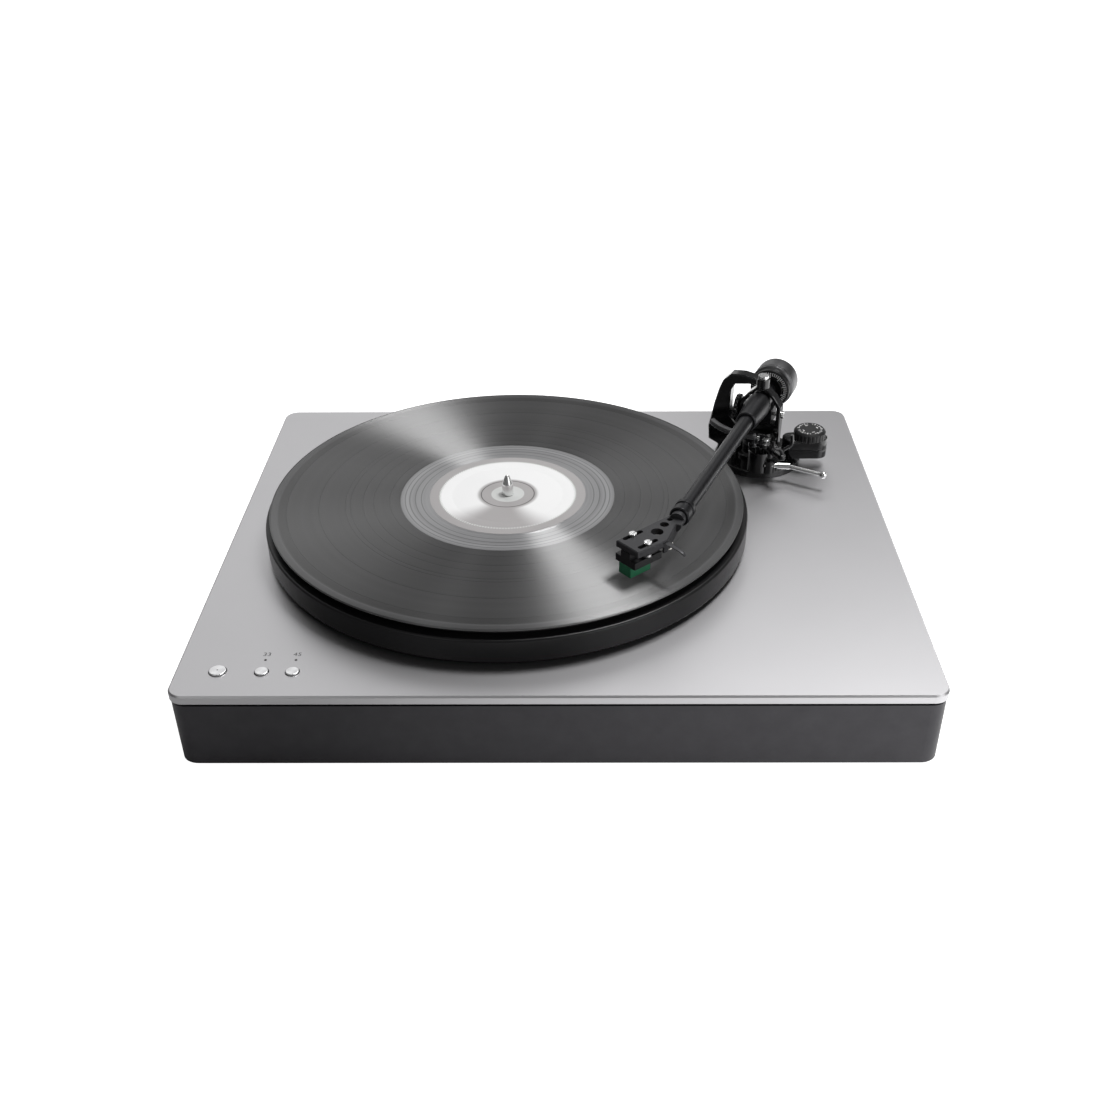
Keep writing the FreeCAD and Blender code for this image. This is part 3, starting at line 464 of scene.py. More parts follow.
def vinyl():
    """Pressed vinyl. Its fine grooves throw light across themselves, in two wedges."""
    look = Look(
        "pressed_vinyl",
        (0.02, 0.02, 0.021),
        roughness=0.42,
        Anisotropic=1.0,
        Anisotropic_Rotation=0.25,
        Specular_IOR_Level=1.0,
        IOR=1.75,
    )
    tangent = look.add("ShaderNodeTangent", direction_type="RADIAL", axis="Z")
    look.join(tangent.outputs["Tangent"], look.shader.inputs["Tangent"])
    radius = look.radius()
    tracks = look.rings(radius, 210, 2)
    fine = look.rings(radius, 1500, 3)
    sheen_zones = look.add("ShaderNodeValToRGB")
    look.join(look.spread(radius, 0, 1, 50 * MM, 151 * MM), sheen_zones.inputs["Fac"])
    # Painted sheen: the smooth dead wax is painted light grey and the rim lighter than the grooved bed,
    # and the lead-in is painted darker, in place of how each one reflects.
    dead_wax_sheen, grooved, lead_in, rim = 0.19, 0.018, 0.006, 0.04
    stops = (
        (0.0, dead_wax_sheen),
        (0.180, dead_wax_sheen),
        (0.190, grooved),
        (0.885, grooved),
        (0.895, lead_in),
        (0.940, lead_in),
        (0.952, rim),
        (1.0, rim),
    )
    elements = sheen_zones.color_ramp.elements
    while len(elements) < len(stops):
        elements.new(0.5)
    for element, (position, grey) in zip(elements, stops):
        element.position = position
        element.color = (grey, grey, grey * 1.03, 1)
    # Painted shade: the colour is darkened in thin rings at the notched track gaps and at the run-out
    # grooves, over a random tone from track to track.
    lines = 0.0
    for line in TRACK_GAPS + RUN_OUT_LINES:
        away = look.calculate("ABSOLUTE", look.calculate("SUBTRACT", radius, line))
        lines = look.calculate("MAXIMUM", lines, look.spread(away, 1, 0, 0.12 * MM, 0.5 * MM))
    shade = look.calculate("MULTIPLY", look.spread(tracks, 0.6, 1.35), look.spread(lines, 1, 0.3))
    tone = look.add("ShaderNodeVectorMath", operation="SCALE")
    look.join(sheen_zones.outputs["Color"], tone.inputs[0])
    look.join(shade, tone.inputs["Scale"])
    look.paint(tone.outputs[0])
    in_grooves = look.spread(radius, 0, 1, 68 * MM, 69 * MM)
    look.join(look.spread(in_grooves, 0.34, 0.46), look.shader.inputs["Roughness"])
    look.bump(fine, 7 * MICRON)
    return look.material


def label_print():
    """A printed label: a grey ground, a white band that fades out at the front, a grey middle."""
    look = Look("label_print", (0.36, 0.345, 0.345), roughness=0.45)
    radius = look.radius()
    turn = look.heading()
    ground = look.blend(look.noise(900, 4), look.shaded(0.96), look.shaded(1.04))
    inner = look.spread(radius, 0, 1, 17.6 * MM, 20.5 * MM, smooth=True)
    outer = look.spread(radius, 1, 0, 43.2 * MM, 43.9 * MM, smooth=True)
    from_front = look.calculate("ADD", turn, math.radians(97))
    away = look.calculate("ABSOLUTE", look.calculate("WRAP", from_front, math.pi, -math.pi))
    reach = look.spread(radius, math.radians(24), math.radians(34), 17 * MM, 44 * MM)
    clear = look.spread(look.calculate("SUBTRACT", away, reach), 0, 1, -0.2, 0.42, smooth=True)
    band = look.calculate("MULTIPLY", look.calculate("MULTIPLY", inner, outer), clear)
    with_band = look.blend(band, ground, (0.83, 0.83, 0.83))
    hub = look.spread(radius, 1, 0, 10.4 * MM, 10.8 * MM, smooth=True)
    with_hub = look.blend(hub, with_band, (0.55, 0.56, 0.55))
    near_line = look.calculate("ABSOLUTE", look.calculate("SUBTRACT", radius, 17 * MM))
    line = look.spread(near_line, 1, 0, 0.15 * MM, 0.5 * MM, smooth=True)
    look.paint(look.blend(line, with_hub, (0.09, 0.085, 0.085)))
    look.bump(look.noise(2500, 3), 8 * MICRON)
    return look.material


def printed_ink(name, color):
    """Flat screen-printed ink with tiny pinholes."""
    look = Look(name, color, roughness=0.55)
    look.mottle(1500, 0.15)
    look.bump(look.noise(4000, 2), 3 * MICRON)
    return look.material


def circuit_board():
    """Lacquered board with faint copper tracks under the green."""
    look = Look("circuit_board", (0.01, 0.09, 0.04), roughness=0.35)
    tracks = look.add("ShaderNodeTexBrick")
    look.join(look.place, tracks.inputs["Vector"])
    tracks.inputs["Scale"].default_value = 160
    tracks.inputs["Mortar Size"].default_value = 0.03
    look.paint(look.blend(tracks.outputs["Fac"], look.color, (0.03, 0.17, 0.08)))
    look.bump(tracks.outputs["Fac"], 15 * MICRON)
    return look.material


def coloured_plastic(name, color, roughness):
    """Glossy coloured plastic with a slight flow mark."""
    look = Look(name, color, roughness=roughness)
    look.mottle(240, 0.14)
    look.roughen(look.noise(500, 3), roughness - 0.08, roughness + 0.1)
    look.bump(look.noise(1400, 2), 5 * MICRON)
    return look.material


PLATE_METAL = blasted_metal("plate_metal", (0.57, 0.565, 0.577), 0.41)
SHELL_METAL = satin_metal("shell_metal", (0.058, 0.0565, 0.061), 0.42, 0.9)
BLACK_METAL = satin_metal("black_metal", (0.008, 0.008, 0.0085), 0.36, 0.5)
ARM_METAL = satin_metal("arm_metal", (0.022, 0.022, 0.024), 0.32)
RAIL_METAL = satin_metal("rail_metal", (0.10, 0.10, 0.103), 0.42)
HEADSHELL_METAL = satin_metal("headshell_metal", (0.046, 0.046, 0.049), 0.46, 0.6)
WEIGHT_METAL = satin_metal("weight_metal", (0.12, 0.12, 0.123), 0.36, 0.9)
PLATTER_METAL = satin_metal("platter_metal", (0.011, 0.0107, 0.0115), 0.34, 0.5)
GLOSS_BLACK = polished_black("gloss_black")
MATTE_BLACK = moulded_black("matte_black")
BRIGHT_SCREW = bright_metal("bright_screw", (0.86, 0.86, 0.86), 0.22)
BRIGHT_STEEL = bright_metal("bright_steel", (0.55, 0.55, 0.56), 0.3)
MAT_RUBBER = rubber("mat_rubber")
FOOT_RUBBER = rubber("foot_rubber", (0.02, 0.02, 0.02))
BRONZE = bright_metal("bronze", (0.78, 0.52, 0.24), 0.25)
BOARD = circuit_board()
LIGHT = coloured_plastic("smoked_lens", (0.035, 0.03, 0.03), 0.2)
GREEN = coloured_plastic("stylus_green", (0.02, 0.15, 0.072), 0.32)
VINYL = vinyl()
LABEL = label_print()
WHITE_INK = printed_ink("white_ink", (0.9, 0.9, 0.9))
GREY_INK = printed_ink("grey_ink", (0.07, 0.07, 0.074))
PALE_INK = printed_ink("pale_ink", (0.62, 0.64, 0.62))

NODE_LOOKS = {
    "top_plate": (PLATE_METAL, 0),
    "plinth_shell": (SHELL_METAL, 0),
    "bottom_cover": (BLACK_METAL, 0.3),
    "case_screws": (BRIGHT_STEEL, 0.15),
    "foot_cups": (MATTE_BLACK, 0.4),
    "foot_pads": (FOOT_RUBBER, 0.4),
    "rear_panel": (MATTE_BLACK, 0.2),
    "earth_terminal": (BRIGHT_STEEL, 0.2),
    "power_inlet": (MATTE_BLACK, 0.2),
    "bearing_housing": (BRIGHT_STEEL, 0.3),
    "bearing_bush": (BRONZE, 0.1),
    "thrust_ball": (BRIGHT_SCREW, 0),
    "spindle": (BRIGHT_SCREW, 0.12),
    "sub_platter": (MATTE_BLACK, 0.3),
    "platter": (PLATTER_METAL, 0.5),
    "slip_mat": (MAT_RUBBER, 0.3),
    "motor_case": (BRIGHT_STEEL, 0.3),
    "motor_shaft": (BRIGHT_SCREW, 0.1),
    "motor_pulley": (BRONZE, 0.15),
    "drive_belt": (MAT_RUBBER, 0.1),
    "control_board": (BOARD, 0),
    "tact_switches": (MATTE_BLACK, 0.2),
    "light_pipes": (LIGHT, 0.05),
    "phono_board": (BOARD, 0),
    "board_spacers": (BRIGHT_STEEL, 0.1),
    "arm_base": (GLOSS_BLACK, 0.3),
    "arm_base_nut": (BRIGHT_STEEL, 0.2),
    "arm_pillar": (GLOSS_BLACK, 0.25),
    "bearing_arch": (GLOSS_BLACK, 0.35),
    "top_bearing_screw": (BRIGHT_SCREW, 0.12),
    "lift_cylinder": (GLOSS_BLACK, 0.3),
    "rail_screws": (BRIGHT_SCREW, 0.12),
    "cue_lever": (BRIGHT_SCREW, 0.15),
    "antiskate_knob": (MATTE_BLACK, 0.2),
    "lock_knob": (GLOSS_BLACK, 0.3),
    "gimbal_ring": (GLOSS_BLACK, 0.25),
    "pivot_screws": (BRIGHT_SCREW, 0.12),
    "arm_sleeve": (ARM_METAL, 0.3),
    "arm_tube": (ARM_METAL, 0.1),
    "headshell_collar": (ARM_METAL, 0.15),
    "headshell": (HEADSHELL_METAL, 0.2),
    "headshell_screws": (BRIGHT_SCREW, 0.1),
    "cartridge_body": (MATTE_BLACK, 0.3),
    "stylus_block": (GREEN, 0.35),
    "cantilever": (BRIGHT_SCREW, 0),
    "counterweight_stub": (ARM_METAL, 0.15),
    "counterweight_bush": (BLACK_METAL, 0.1),
}


def dress_nodes():
    """Gives every CAD node that is shown as it is a finish and, where it helps, softened edges."""
    for node, (material, edge) in NODE_LOOKS.items():
        part = NODES[node]
        part.data.materials.clear()
        part.data.materials.append(material)
        if edge:
            refine(node, edge)


# The record.


def record():
    """The record: a raised rim and middle, and a grooved bed with a notch between its tracks."""
    low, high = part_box("record")
    top = high.z
    rim = (high.x - low.x) / 2
    cut = 0.6 * MM
    bed = top - 0.3 * MM
    rim_width, slope = 3.5 * MM, 1.1 * MM
    half, notch = 0.32 * MM, 0.07 * MM
    boss_foot, boss_edge, hole = 51.6 * MM, 50.6 * MM, 3.65 * MM
    edge = [(rim - cut, low.z), (rim, low.z + cut), (rim, top - cut), (rim - cut, top)]
    face = [(rim - rim_width, top), (rim - rim_width - slope, bed)]
    for middle in TRACK_GAPS:
        face += [(middle + half, bed), (middle + half / 2, bed - notch)]
        face += [(middle - half / 2, bed - notch), (middle - half, bed)]
    boss = [(boss_foot, bed), (boss_edge, top), (hole, top), (hole, low.z)]
    profile = soften(edge, 0.5 * MM, closed=True)[2:] + soften(face + boss, 0.2 * MM, 2)
    piece = lathe("grooved_record", profile, SPINDLE, steps=360, sharp=60)
    settle(piece, BODY_OF["record"], "vinyl", VINYL, "record")


def label():
    """The paper label, with a pressed ring and a circle of printed ticks."""
    low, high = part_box("record_label")
    radius = (high.x - low.x) / 2
    thick = high.z - low.z
    hole = 3.7 * MM
    ring, half, lip, pressed = 35.5 * MM, 0.3 * MM, 0.4 * MM, 0.05 * MM
    profile = [
        (hole, low.z),
        (radius, low.z),
        (radius, high.z - 0.4 * thick),
        (radius - 0.3 * MM, high.z),
        (ring + half + lip, high.z),
        (ring + half, high.z - pressed),
        (ring - half, high.z - pressed),
        (ring - half - lip, high.z),
        (hole, high.z),
    ]
    piece = lathe("printed_label", profile, SPINDLE, steps=180, sharp=60)
    settle(piece, BODY_OF["record_label"], "label_print", LABEL, "record_label")
    bm = bmesh.new()
    ink = 0.02 * MM
    count = 150
    middle = 43.4 * MM
    for i in range(count):
        turn = 2 * math.pi * i / count
        add_prism(bm, tick(middle, 1.5 * MM, 0.8 * MM, turn), high.z, high.z + ink, 0)
    ticks = new_object("label_ticks", bm, SPINDLE)
    settle(ticks, BODY_OF["record_label"], "label_print", PALE_INK)


# The controls on the plate.


def buttons():
    """Turned faces for the three keys, and a dot in the middle of the power key."""
    for node in ("power_button", "speed_33_button", "speed_45_button"):
        low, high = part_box(node)
        centre = (low + high) / 2
        finish = turned_metal(f"{node}_face", (0.86, 0.86, 0.87), (centre.x, centre.y, 0), 0.36)
        NODES[node].data.materials.clear()
        NODES[node].data.materials.append(finish)
        refine(node, 0.25)
    low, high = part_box("power_button")
    centre = (low + high) / 2
    bm = bmesh.new()
    add_prism(bm, disc(0, 0, 0.45 * MM, 24), 0, 0.04 * MM, 0.01 * MM)
    dot = new_object("power_dot", bm, Matrix.Translation((centre.x, centre.y, high.z)))
    settle(dot, BODY_OF["power_button"], "matte_black", GREY_INK)


def numerals():
    """The speeds, printed on the plate behind their lights."""
    height, behind, ink = 4.6 * MM, 5.2 * MM, 0.015 * MM
    light_y = (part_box("light_pipes")[0].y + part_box("light_pipes")[1].y) / 2
    for text in ("33", "45"):
        low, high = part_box(f"speed_{text}_button")
        curve = bpy.data.curves.new(f"numeral_{text}", "FONT")
        curve.body = text
        curve.size = height
        curve.align_x = "CENTER"
        curve.align_y = "CENTER"
        curve.extrude = ink
        curve.space_character = 1.05
        piece = bpy.data.objects.new(f"numeral_{text}", curve)
        bpy.context.scene.collection.objects.link(piece)
        piece.location = ((low.x + high.x) / 2, light_y + behind, TOP + 0.02 * MM)
        settle(piece, BODY_OF["top_plate"], "matte_black", GREY_INK)


# The tonearm.


def span(node):
    """How far a CAD node reaches along the arm, from the pivot."""
    reach = [(corner.co - PIVOT).dot(ALONG) for corner in NODES[node].data.vertices]
    return min(reach), max(reach)


def half_height(node):
    """The radius of a CAD node that is round about the arm."""
    low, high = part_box(node)
    return (high.z - low.z) / 2


def counterweight():
    """The weight: a turned drum with a fine groove round its front and a dished back."""
    back, front = span("counterweight")
    radius = half_height("counterweight")
    bore = half_height("counterweight_bush") + 0.05 * MM
    groove, groove_depth = front - 2.6 * MM, 0.7 * MM
    dish = 0.8 * MM
    profile = [
        (bore, front),
        (radius - 1.5 * MM, front),
        (radius, front - 1.3 * MM),
        (radius, groove),
        (radius - groove_depth, groove - 0.3 * MM),
        (radius - groove_depth, groove - 0.7 * MM),
        (radius, groove - 1.0 * MM),
        (radius, back + 0.9 * MM),
        (radius - 0.9 * MM, back),
        (radius - 3 * MM, back),
        (radius - 3.4 * MM, back + dish),
        (bore + 1.2 * MM, back + dish),
        (bore + 0.8 * MM, back),
        (bore, back),
    ]
    piece = lathe("turned_counterweight", soften(profile, 0.25 * MM, 3, True), ARM_AXIS, 144)
    settle(piece, BODY_OF["counterweight"], "weight_metal", WEIGHT_METAL, "counterweight")


def scale_ring():
    """The scale in front of the counterweight, with a domed hub and a ring of marks."""
    back, front = span("scale_ring")
    radius = half_height("scale_ring")
    bore = half_height("counterweight_bush") + 0.05 * MM
    hub = bore + 0.7 * MM
    face = front - 0.3 * MM
    profile = [
        (bore, front),
        (hub, front),
        (hub + 0.2 * MM, front - 0.7 * MM),
        (hub + 0.9 * MM, front - 0.7 * MM),
        (hub + 1.1 * MM, face),
        (radius - 0.9 * MM, face),
        (radius, front - 1.0 * MM),
        (radius, back),
        (bore, back),
    ]
    piece = lathe("marked_scale_ring", soften(profile, 0.25 * MM, 3, True), ARM_AXIS, 144)
    settle(piece, BODY_OF["scale_ring"], "black_metal", BLACK_METAL, "scale_ring")
    bm = bmesh.new()
    count = 50
    for i in range(count):
        turn = 2 * math.pi * i / count
        inner = (9.0 if i % 5 == 0 else 10.2) * MM
        outer = 12.6 * MM
        outline = tick((inner + outer) / 2, outer - inner, 0.44 * MM, turn)
        add_prism(bm, outline, face - 0.02 * MM, face + 0.04 * MM, 0)
    marks = new_object("scale_marks", bm, ARM_AXIS)
    settle(marks, BODY_OF["scale_ring"], "label_print", WHITE_INK)


LIFT_POINT = Vector(JOINTS["cue_lever_turn"]["pos_m"])
LIFT_HEADING = math.atan2(LIFT_POINT.y - PIVOT.y, LIFT_POINT.x - PIVOT.x)
LIFT = Matrix.Translation((PIVOT.x, PIVOT.y, TOP)) @ Matrix.Rotation(LIFT_HEADING, 4, "Z")


def loop_round(start, start_radius, end, end_radius, steps=14):
    """The outline of two circles joined by their common tangents."""
    start, end = Vector(start), Vector(end)
    heading = math.atan2(end.y - start.y, end.x - start.x)
    lean = math.acos((start_radius - end_radius) / (end - start).length)
    outline = []
    for centre, radius, first, last in (
        (end, end_radius, heading - lean, heading + lean),
        (start, start_radius, heading + lean, heading - lean + 2 * math.pi),
    ):
        for i in range(steps + 1):
            turn = first + (last - first) * i / steps
            outline.append((centre.x + radius * math.cos(turn), centre.y + radius * math.sin(turn)))
    return outline


def arc_strip(inner, outer, first, last, steps=30):
    """The outline of part of a flat ring, with its angles in degrees."""
    turns = [math.radians(first + (last - first) * i / steps) for i in range(steps + 1)]
    outside = [(outer * math.cos(t), outer * math.sin(t)) for t in turns]
    inside = [(inner * math.cos(t), inner * math.sin(t)) for t in reversed(turns)]
    return outside + inside


def lift_rail():
    """The curved rail that lifts the arm, on a bracket that is screwed to the plunger."""
    reach = 25.1
    plunger, plunger_low = 3, 8.6
    plate_low, plate_high = 26, 29
    lap = 0.1
    rail_low, rail_high = 33, 36.7
    screw_plate = loop_round((reach, 0), 5.6, (33, 2.4), 4)
    rail_plate = loop_round((reach, 0), 5.2, (32.6, -5), 3.4)
    riser = rectangle(33.6, -5.6, 4.4, 3.6, -0.17)
    layers = (
        (disc(reach, 0, plunger, 40), plunger_low, plate_low + 0.2, 0.2, 2),
        (screw_plate, plate_low, plate_high, 0.45, 3),
        (rail_plate, plate_low + lap, plate_high - lap, 0.45, 3),
        (riser, plate_high - 0.4, rail_low + 0.6, 0.4, 2),
    )
    bm = bmesh.new()
    for outline, bottom, top, edge, segments in layers:
        add_prism(bm, in_mm(outline), bottom * MM, top * MM, edge * MM, segments)
    bracket = new_object("rail_bracket", bm, LIFT)
    settle(bracket, BODY_OF["lift_rail"], "gloss_black", GLOSS_BLACK, "lift_rail")
    bm = bmesh.new()
    add_prism(bm, in_mm(arc_strip(34.5, 38.5, -67, -6)), rail_low * MM, rail_high * MM, 0.9 * MM, 4)
    rail = new_object("curved_lift_rail", bm, LIFT)
    settle(rail, BODY_OF["lift_rail"], "arm_metal", RAIL_METAL)


def housing():
    """The anti-skate housing: a long rounded box with a fine parting line, on a foot."""
    low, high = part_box("antiskate_housing")
    level = (low.y + high.y) / 2
    round_end = (high.y - low.y) / 2
    base = TOP + 7 * MM
    seam = TOP + 13.4 * MM
    line_width, line_depth, edge = 0.2 * MM, 0.35 * MM, 0.55 * MM
    hair = 0.001 * MM
    right = high.x - round_end
    left = 160.5 * MM - right
    layers = (
        (base, seam, 0, edge),
        (seam - 0.3 * MM, seam + 0.5 * MM, line_depth, 0),
        (seam + line_width, high.z, 0, edge),
    )
    bm = bmesh.new()
    for bottom, top, inset, soft in layers:
        radius = round_end - inset
        add_prism(bm, loop_round((left, 0), radius, (0, 0), radius - hair), bottom, top, soft, 4)
    foot = rectangle(left - 0.25 * MM, 0, 11.5 * MM, 11 * MM)
    add_prism(bm, foot, low.z, base + 1 * MM, 0.3 * MM)
    piece = new_object("long_antiskate_housing", bm, Matrix.Translation((right, level, 0)))
    settle(piece, BODY_OF["antiskate_housing"], "gloss_black", GLOSS_BLACK, "antiskate_housing")


def arm_rest():
    """A bracket with a short and a tall hook, which hold the parked arm between them."""
    park = math.radians(JOINTS["arm_swing"]["range_deg"][1])
    where = Matrix.Translation((PIVOT.x, PIVOT.y, TOP))
    where = where @ Matrix.Rotation(math.atan2(ALONG.y, ALONG.x) + park, 4, "Z")
    post = (28.7, -2.6)
    reach = 44
    bm = bmesh.new()
    add_prism(bm, in_mm(disc(*post, 3, 40)), 14 * MM, 21.6 * MM, 0.2 * MM)
    add_prism(bm, in_mm(loop_round(post, 4, (reach, 0), 2.6)), 21.4 * MM, 25.2 * MM, 0.6 * MM, 3)
    bracket = new_object("arm_rest_bracket", bm, where)
    settle(bracket, BODY_OF["arm_rest"], "gloss_black", GLOSS_BLACK, "arm_rest")
    routes = {
        "short_hook": [(0, 24.6), (0, 27.4), (-1.5, 29.6), (-5.6, 30.2), (-6.9, 33), (-6.5, 35.4)],
        "tall_hook": [(0, 24.6), (0.3, 28.4), (3.2, 29.4), (6.4, 31), (6.7, 35), (6.2, 38.9)],
    }
    for name, route in routes.items():
        points = [(reach * MM, y * MM, z * MM) for y, z in route]
        horn = strand(f"arm_rest_{name}", points, 1.15 * MM, where)
        settle(horn, BODY_OF["arm_rest"], "gloss_black", GLOSS_BLACK)


def bearing_lock_ring():
    """The scalloped lock ring on the left tilt bearing, which shows through the arch."""
    level = JOINTS["arm_tilt"]["pos_m"][2] + 0.8 * MM
    place = Vector((PIVOT.x, PIVOT.y, level)) - SIDE * 15.0 * MM
    across = Matrix((ALONG, UP, -SIDE)).transposed().to_4x4()
    where = Matrix.Translation(place) @ across
    lobes = 12
    steps = lobes * 8
    valley, lobe_height, thick = 8.6 * MM, 0.5 * MM, 2.9 * MM
    outline = []
    for i in range(steps):
        turn = 2 * math.pi * i / steps
        radius = valley + lobe_height * abs(math.cos(lobes * turn / 2)) ** 0.6
        outline.append((radius * math.cos(turn), radius * math.sin(turn)))
    bm = bmesh.new()
    add_prism(bm, outline, 0, thick, 0.35 * MM, 3)
    piece = new_object("bearing_lock_ring", bm, where)
    settle(piece, "arm_yoke", "gloss_black", GLOSS_BLACK)


def knob_marks():
    """The printed scale on top of the anti-skate dial."""
    low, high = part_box("antiskate_knob")
    radius = (high.x - low.x) / 2
    ink = 0.03 * MM
    outer_circle, inner_circle = radius - 3.1 * MM, radius - 5.6 * MM
    bm = bmesh.new()
    count = 26
    for i in range(count):
        if i % 7 == 6:
            continue
        turn = 2 * math.pi * i / count
        length = (1.7 if i % 2 == 0 else 0.8) * MM
        add_prism(bm, tick(outer_circle, length, 0.55 * MM, turn), high.z, high.z + ink, 0)
    for turn in (0.3, 1.9, 3.6, 5.0):
        add_prism(bm, tick(inner_circle, 0.5 * MM, 2.0 * MM, turn), high.z, high.z + ink, 0)
    marks = new_object("dial_marks", bm, upright("antiskate_turn"))
    settle(marks, BODY_OF["antiskate_knob"], "label_print", WHITE_INK)


def finger_lift():
    """A bent strip that leaves the headshell's side and hooks down at its end."""
    path = (
        (23.6, 13.6, -0.6),
        (23.6, 18, -0.3),
        (23.4, 24, -0.6),
        (23.3, 28.2, -1.3),
        (23.2, 29.6, -3.0),
    )
    half_widths = (2.7, 2.3, 1.7, 1.3, 1.1)
    half_thick = 0.5
    bm = bmesh.new()
    rings = []
    for i, (x, y, z) in enumerate(path):
        before = Vector(path[max(i - 1, 0)])
        after = Vector(path[min(i + 1, len(path) - 1)])
        forward = (after - before).normalized()
        normal = Vector((1, 0, 0)).cross(forward).normalized()
        centre = Vector((x, y, z))
        wide = Vector((half_widths[i], 0, 0))
        thick = normal * half_thick
        corners = (-wide - thick, wide - thick, wide + thick, thick - wide)
        rings.append([bm.verts.new((centre + corner) * MM) for corner in corners])
    for first, second in zip(rings, rings[1:]):
        for i in range(4):
            bm.faces.new((first[i], first[(i + 1) % 4], second[(i + 1) % 4], second[i]))
    bm.faces.new(rings[0])
    bm.faces.new(rings[-1])
    piece = new_object("bent_finger_lift", bm, HEADSHELL)
    smooth = piece.modifiers.new("smooth", "SUBSURF")
    smooth.levels = smooth.render_levels = 3
    settle(piece, BODY_OF["finger_lift"], "headshell_metal", HEADSHELL_METAL, "finger_lift")


def leads():
    """Four fine leads from the headshell's neck to clips on the cartridge's pins."""
    colors = {
        "red": (0.35, 0.02, 0.015),
        "green": (0.02, 0.16, 0.05),
        "blue": (0.02, 0.06, 0.3),
        "white": (0.75, 0.73, 0.68),
    }
    gold = bright_metal("gold_plate", (0.85, 0.62, 0.28), 0.2)
    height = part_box("cartridge_wires")[0].z + 2 * MM - TUBE_HEIGHT
    for i, (name, color) in enumerate(colors.items()):
        across = (3.85 + 2 * (i - 1.5)) * MM
        swing = (i - 0.6) * 2.2 * MM
        pin = Vector((24.4 * MM, across, height))
        route = [
            pin + Vector((-2.4 * MM, 0, 0)),
            pin + Vector((-5.5 * MM, swing * 0.5, -1.2 * MM)),
            pin + Vector((-9.5 * MM, swing, -0.6 * MM)),
            Vector((11.5 * MM, 2.2 * MM + swing * 0.8, -6.6 * MM)),
            Vector((8.4 * MM, 2.0 * MM + swing * 0.2, -3.6 * MM)),
        ]
        insulation = coloured_plastic(f"{name}_insulation", color, 0.4)
        nodes = ("cartridge_wires",) if i == 0 else ()
        lead = strand(f"{name}_lead", route, 0.35 * MM, HEADSHELL)
        settle(lead, BODY_OF["cartridge_wires"], "lead_wire", insulation, *nodes)
        along = HEADSHELL @ Matrix.Translation(pin) @ Matrix.Rotation(-math.pi / 2, 4, "Y")
        clip_profile = [
            (0.0, -0.1),
            (0.42, -0.1),
            (0.42, 1.0),
            (0.68, 1.2),
            (0.68, 3.2),
            (0.45, 3.6),
            (0.0, 3.6),
        ]
        clip = lathe(f"{name}_clip", in_mm(clip_profile), along, 24, closed=False)
        settle(clip, BODY_OF["cartridge_wires"], "bronze", gold)


def sockets():
    """The signal sockets: gold barrels with a coloured insulator round the centre contact."""
    low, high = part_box("rca_sockets")
    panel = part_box("rear_panel")[1].y
    level = (low.z + high.z) / 2
    radius = (high.z - low.z) / 2
    gold = bright_metal("socket_gold", (0.85, 0.62, 0.28), 0.22)
    shapes = (("left", low.x + radius, (0.7, 0.7, 0.7)), ("right", high.x - radius, (0.45, 0.02, 0.02)))
    for side, x, color in shapes:
        where = Matrix.Translation((x, panel, level)) @ Matrix.Rotation(-math.pi / 2, 4, "X")
        reach = high.y - panel
        wall, flange, foot = 0.5 * MM, 1.0 * MM, 0.05 * MM
        barrel = [
            (radius - wall, 1 * MM),
            (radius - wall, reach),
            (radius, reach),
            (radius, 1.4 * MM),
            (radius + flange, 1.4 * MM),
            (radius + flange, foot),
            (radius - 1.2 * MM, foot),
            (radius - 1.2 * MM, 1 * MM),
        ]
        piece = lathe(f"{side}_socket_barrel", soften(barrel, 0.2 * MM, 2, True), where, 64)
        nodes = ("rca_sockets",) if side == "left" else ()
        settle(piece, BODY_OF["rca_sockets"], "bronze", gold, *nodes)
        core = [(1.6, 1.2), (1.6, 6.6), (2.4, 6.6), (2.4, 1.6), (3.6, 1.6), (3.6, 1.2)]
        ring = soften(in_mm(core), 0.15 * MM, 2, True)
        insulator = lathe(f"{side}_socket_insulator", ring, where, 48)
        plastic = coloured_plastic(f"{side}_insulator", color, 0.35)
        settle(insulator, BODY_OF["rca_sockets"], "board", plastic)


# The room, the light and the camera.


def floor():
    """A white floor that is clear from below, so that the underside can be seen."""
    look = Look("floor", (0.5, 0.5, 0.5), roughness=0.9)
    look.mottle(3, 0.005)
    look.join((1, 1, 1, 1), look.shader.inputs["Emission Color"])
    seen = look.add("ShaderNodeLightPath").outputs["Is Camera Ray"]
    parts = look.add("ShaderNodeSeparateXYZ")
    look.join(look.place, parts.inputs[0])
    glow = look.spread(parts.outputs["X"], 0.0, 1.15, -0.15, 0.3)
    look.join(look.calculate("MAXIMUM", seen, glow), look.shader.inputs["Emission Strength"])
    below = look.add("ShaderNodeNewGeometry").outputs["Backfacing"]
    look.join(look.calculate("SUBTRACT", 1.0, below), look.shader.inputs["Alpha"])
    size = 8.0
    bm = bmesh.new()
    bm.faces.new([bm.verts.new((x, y, -0.05 * MM)) for x, y in rectangle(0, 0, size, size)])
    piece = new_object("floor", bm)
    piece.data.materials.append(look.material)


def softbox(name, place, target, width, depth, radiance):
    """A soft rectangular light that shines with a given radiance."""
    lamp = bpy.data.lights.new(name, "AREA")
    lamp.shape = "RECTANGLE"
    lamp.size = width
    lamp.size_y = depth
    lamp.energy = radiance * math.pi * width * depth
    holder = bpy.data.objects.new(name, lamp)
    bpy.context.scene.collection.objects.link(holder)
    holder.location = place
    holder.rotation_euler = (Vector(target) - Vector(place)).to_track_quat("-Z", "Y").to_euler()
    return holder


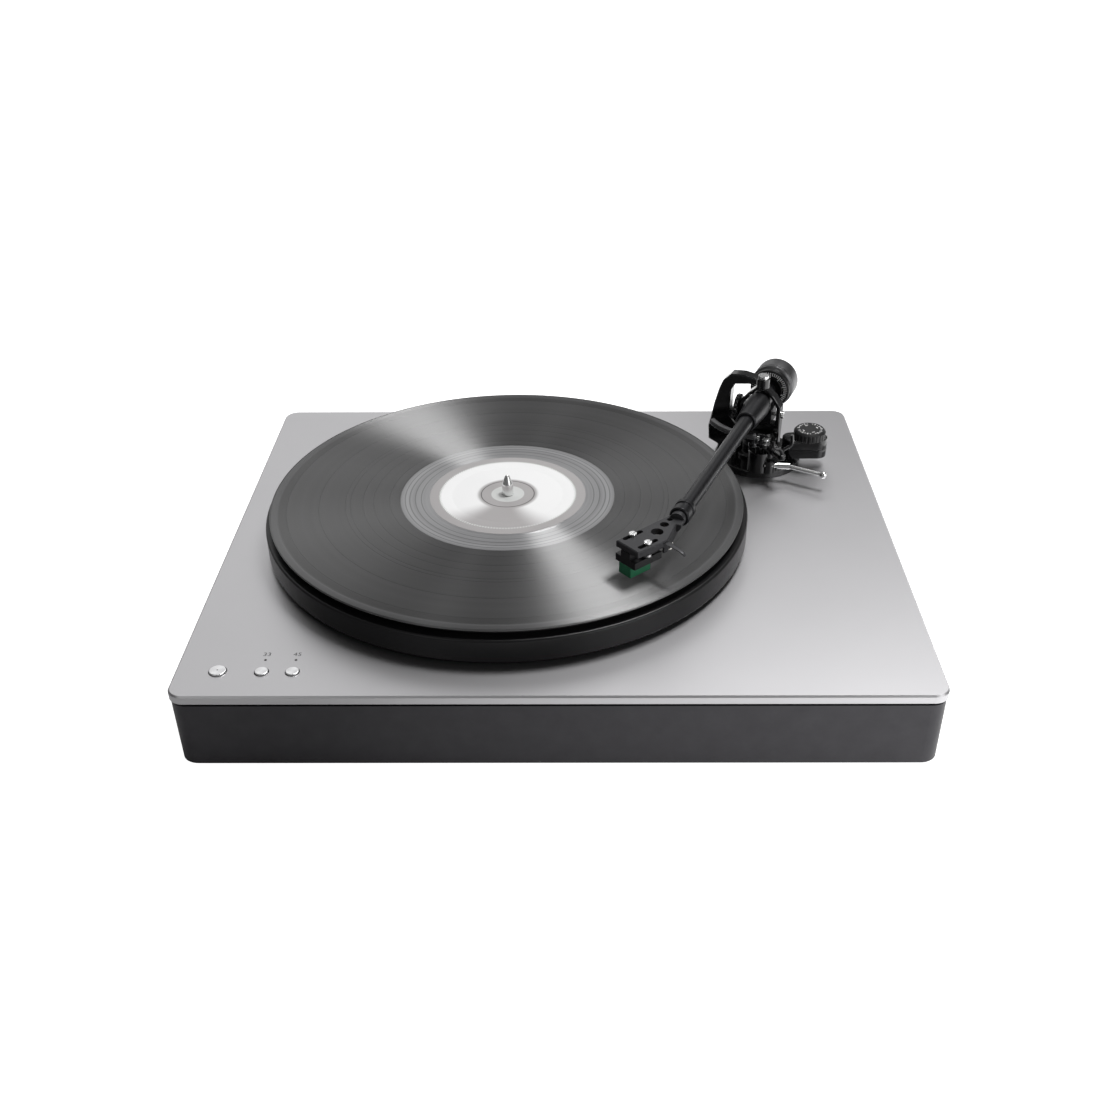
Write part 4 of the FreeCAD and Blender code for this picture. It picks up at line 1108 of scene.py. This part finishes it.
def lights():
    """One strong light over the record for its two wedges, and dim wide ones for the sides."""
    world = bpy.data.worlds.new("studio")
    bpy.context.scene.world = world
    world.use_nodes = True
    background = world.node_tree.nodes["Background"]
    background.inputs["Color"].default_value = (1, 1, 1, 1)
    seen = world.node_tree.nodes.new("ShaderNodeLightPath").outputs["Is Camera Ray"]
    level = world.node_tree.nodes.new("ShaderNodeMapRange")
    level.inputs["To Min"].default_value = 0.12
    world.node_tree.links.new(seen, level.inputs["Value"])
    world.node_tree.links.new(level.outputs["Result"], background.inputs["Strength"])
    centre = Vector((-35 * MM, 0, TOP))
    overhead = centre + Vector((0.32, 0.2, 0.926)) * 1.6
    softbox("streak_light", overhead, centre, 0.5, 0.5, 25)
    softbox("backdrop_left", (-1.1, 2.3, 1.6), (-0.1, 0, 0.05), 3.5, 2.6, 0.78)
    softbox("backdrop_right", (1.5, 2.3, 2.3), (0.1, 0, 0.05), 1.6, 1.3, 0.8)
    softbox("front_right", (1.25, -0.9, 0.7), (0.1, 0, 0.05), 1.1, 0.9, 2.6)
    softbox("front_left", (-0.9, -1.3, 1.3), (0, 0, 0.05), 0.5, 0.5, 2.0)


def camera():
    """The camera of the photograph: its place, its turn, and a frame set a little off its axis."""
    yaw = math.radians(0.463)
    pitch = math.radians(34.832)
    roll = math.radians(0.366)
    level = Vector((math.cos(yaw), math.sin(yaw), 0))
    ahead = Vector((-math.sin(yaw), math.cos(yaw), 0))
    forward = ahead * math.cos(pitch) - UP * math.sin(pitch)
    raised = ahead * math.sin(pitch) + UP * math.cos(pitch)
    right = level * math.cos(roll) - raised * math.sin(roll)
    top = level * math.sin(roll) + raised * math.cos(roll)
    data = bpy.data.cameras.new("camera")
    data.sensor_width = 36
    data.lens = 40.63
    data.shift_x = -0.01307
    data.shift_y = 0.0523
    data.clip_start = 0.01
    data.clip_end = 30
    holder = bpy.data.objects.new("camera", data)
    bpy.context.scene.collection.objects.link(holder)
    place = Vector((13.6455 * MM, -709.6079 * MM, TOP + 422.4776 * MM))
    turn = Matrix((right, top, -forward)).transposed().to_4x4()
    holder.matrix_world = Matrix.Translation(place) @ turn
    bpy.context.scene.camera = holder


camera()
dress_nodes()
record()
label()
buttons()
numerals()
counterweight()
scale_ring()
lift_rail()
housing()
arm_rest()
bearing_lock_ring()
knob_marks()
finger_lift()
leads()
sockets()
floor()
lights()
bpy.context.scene.view_settings.view_transform = "Standard"
bpy.context.view_layer.update()
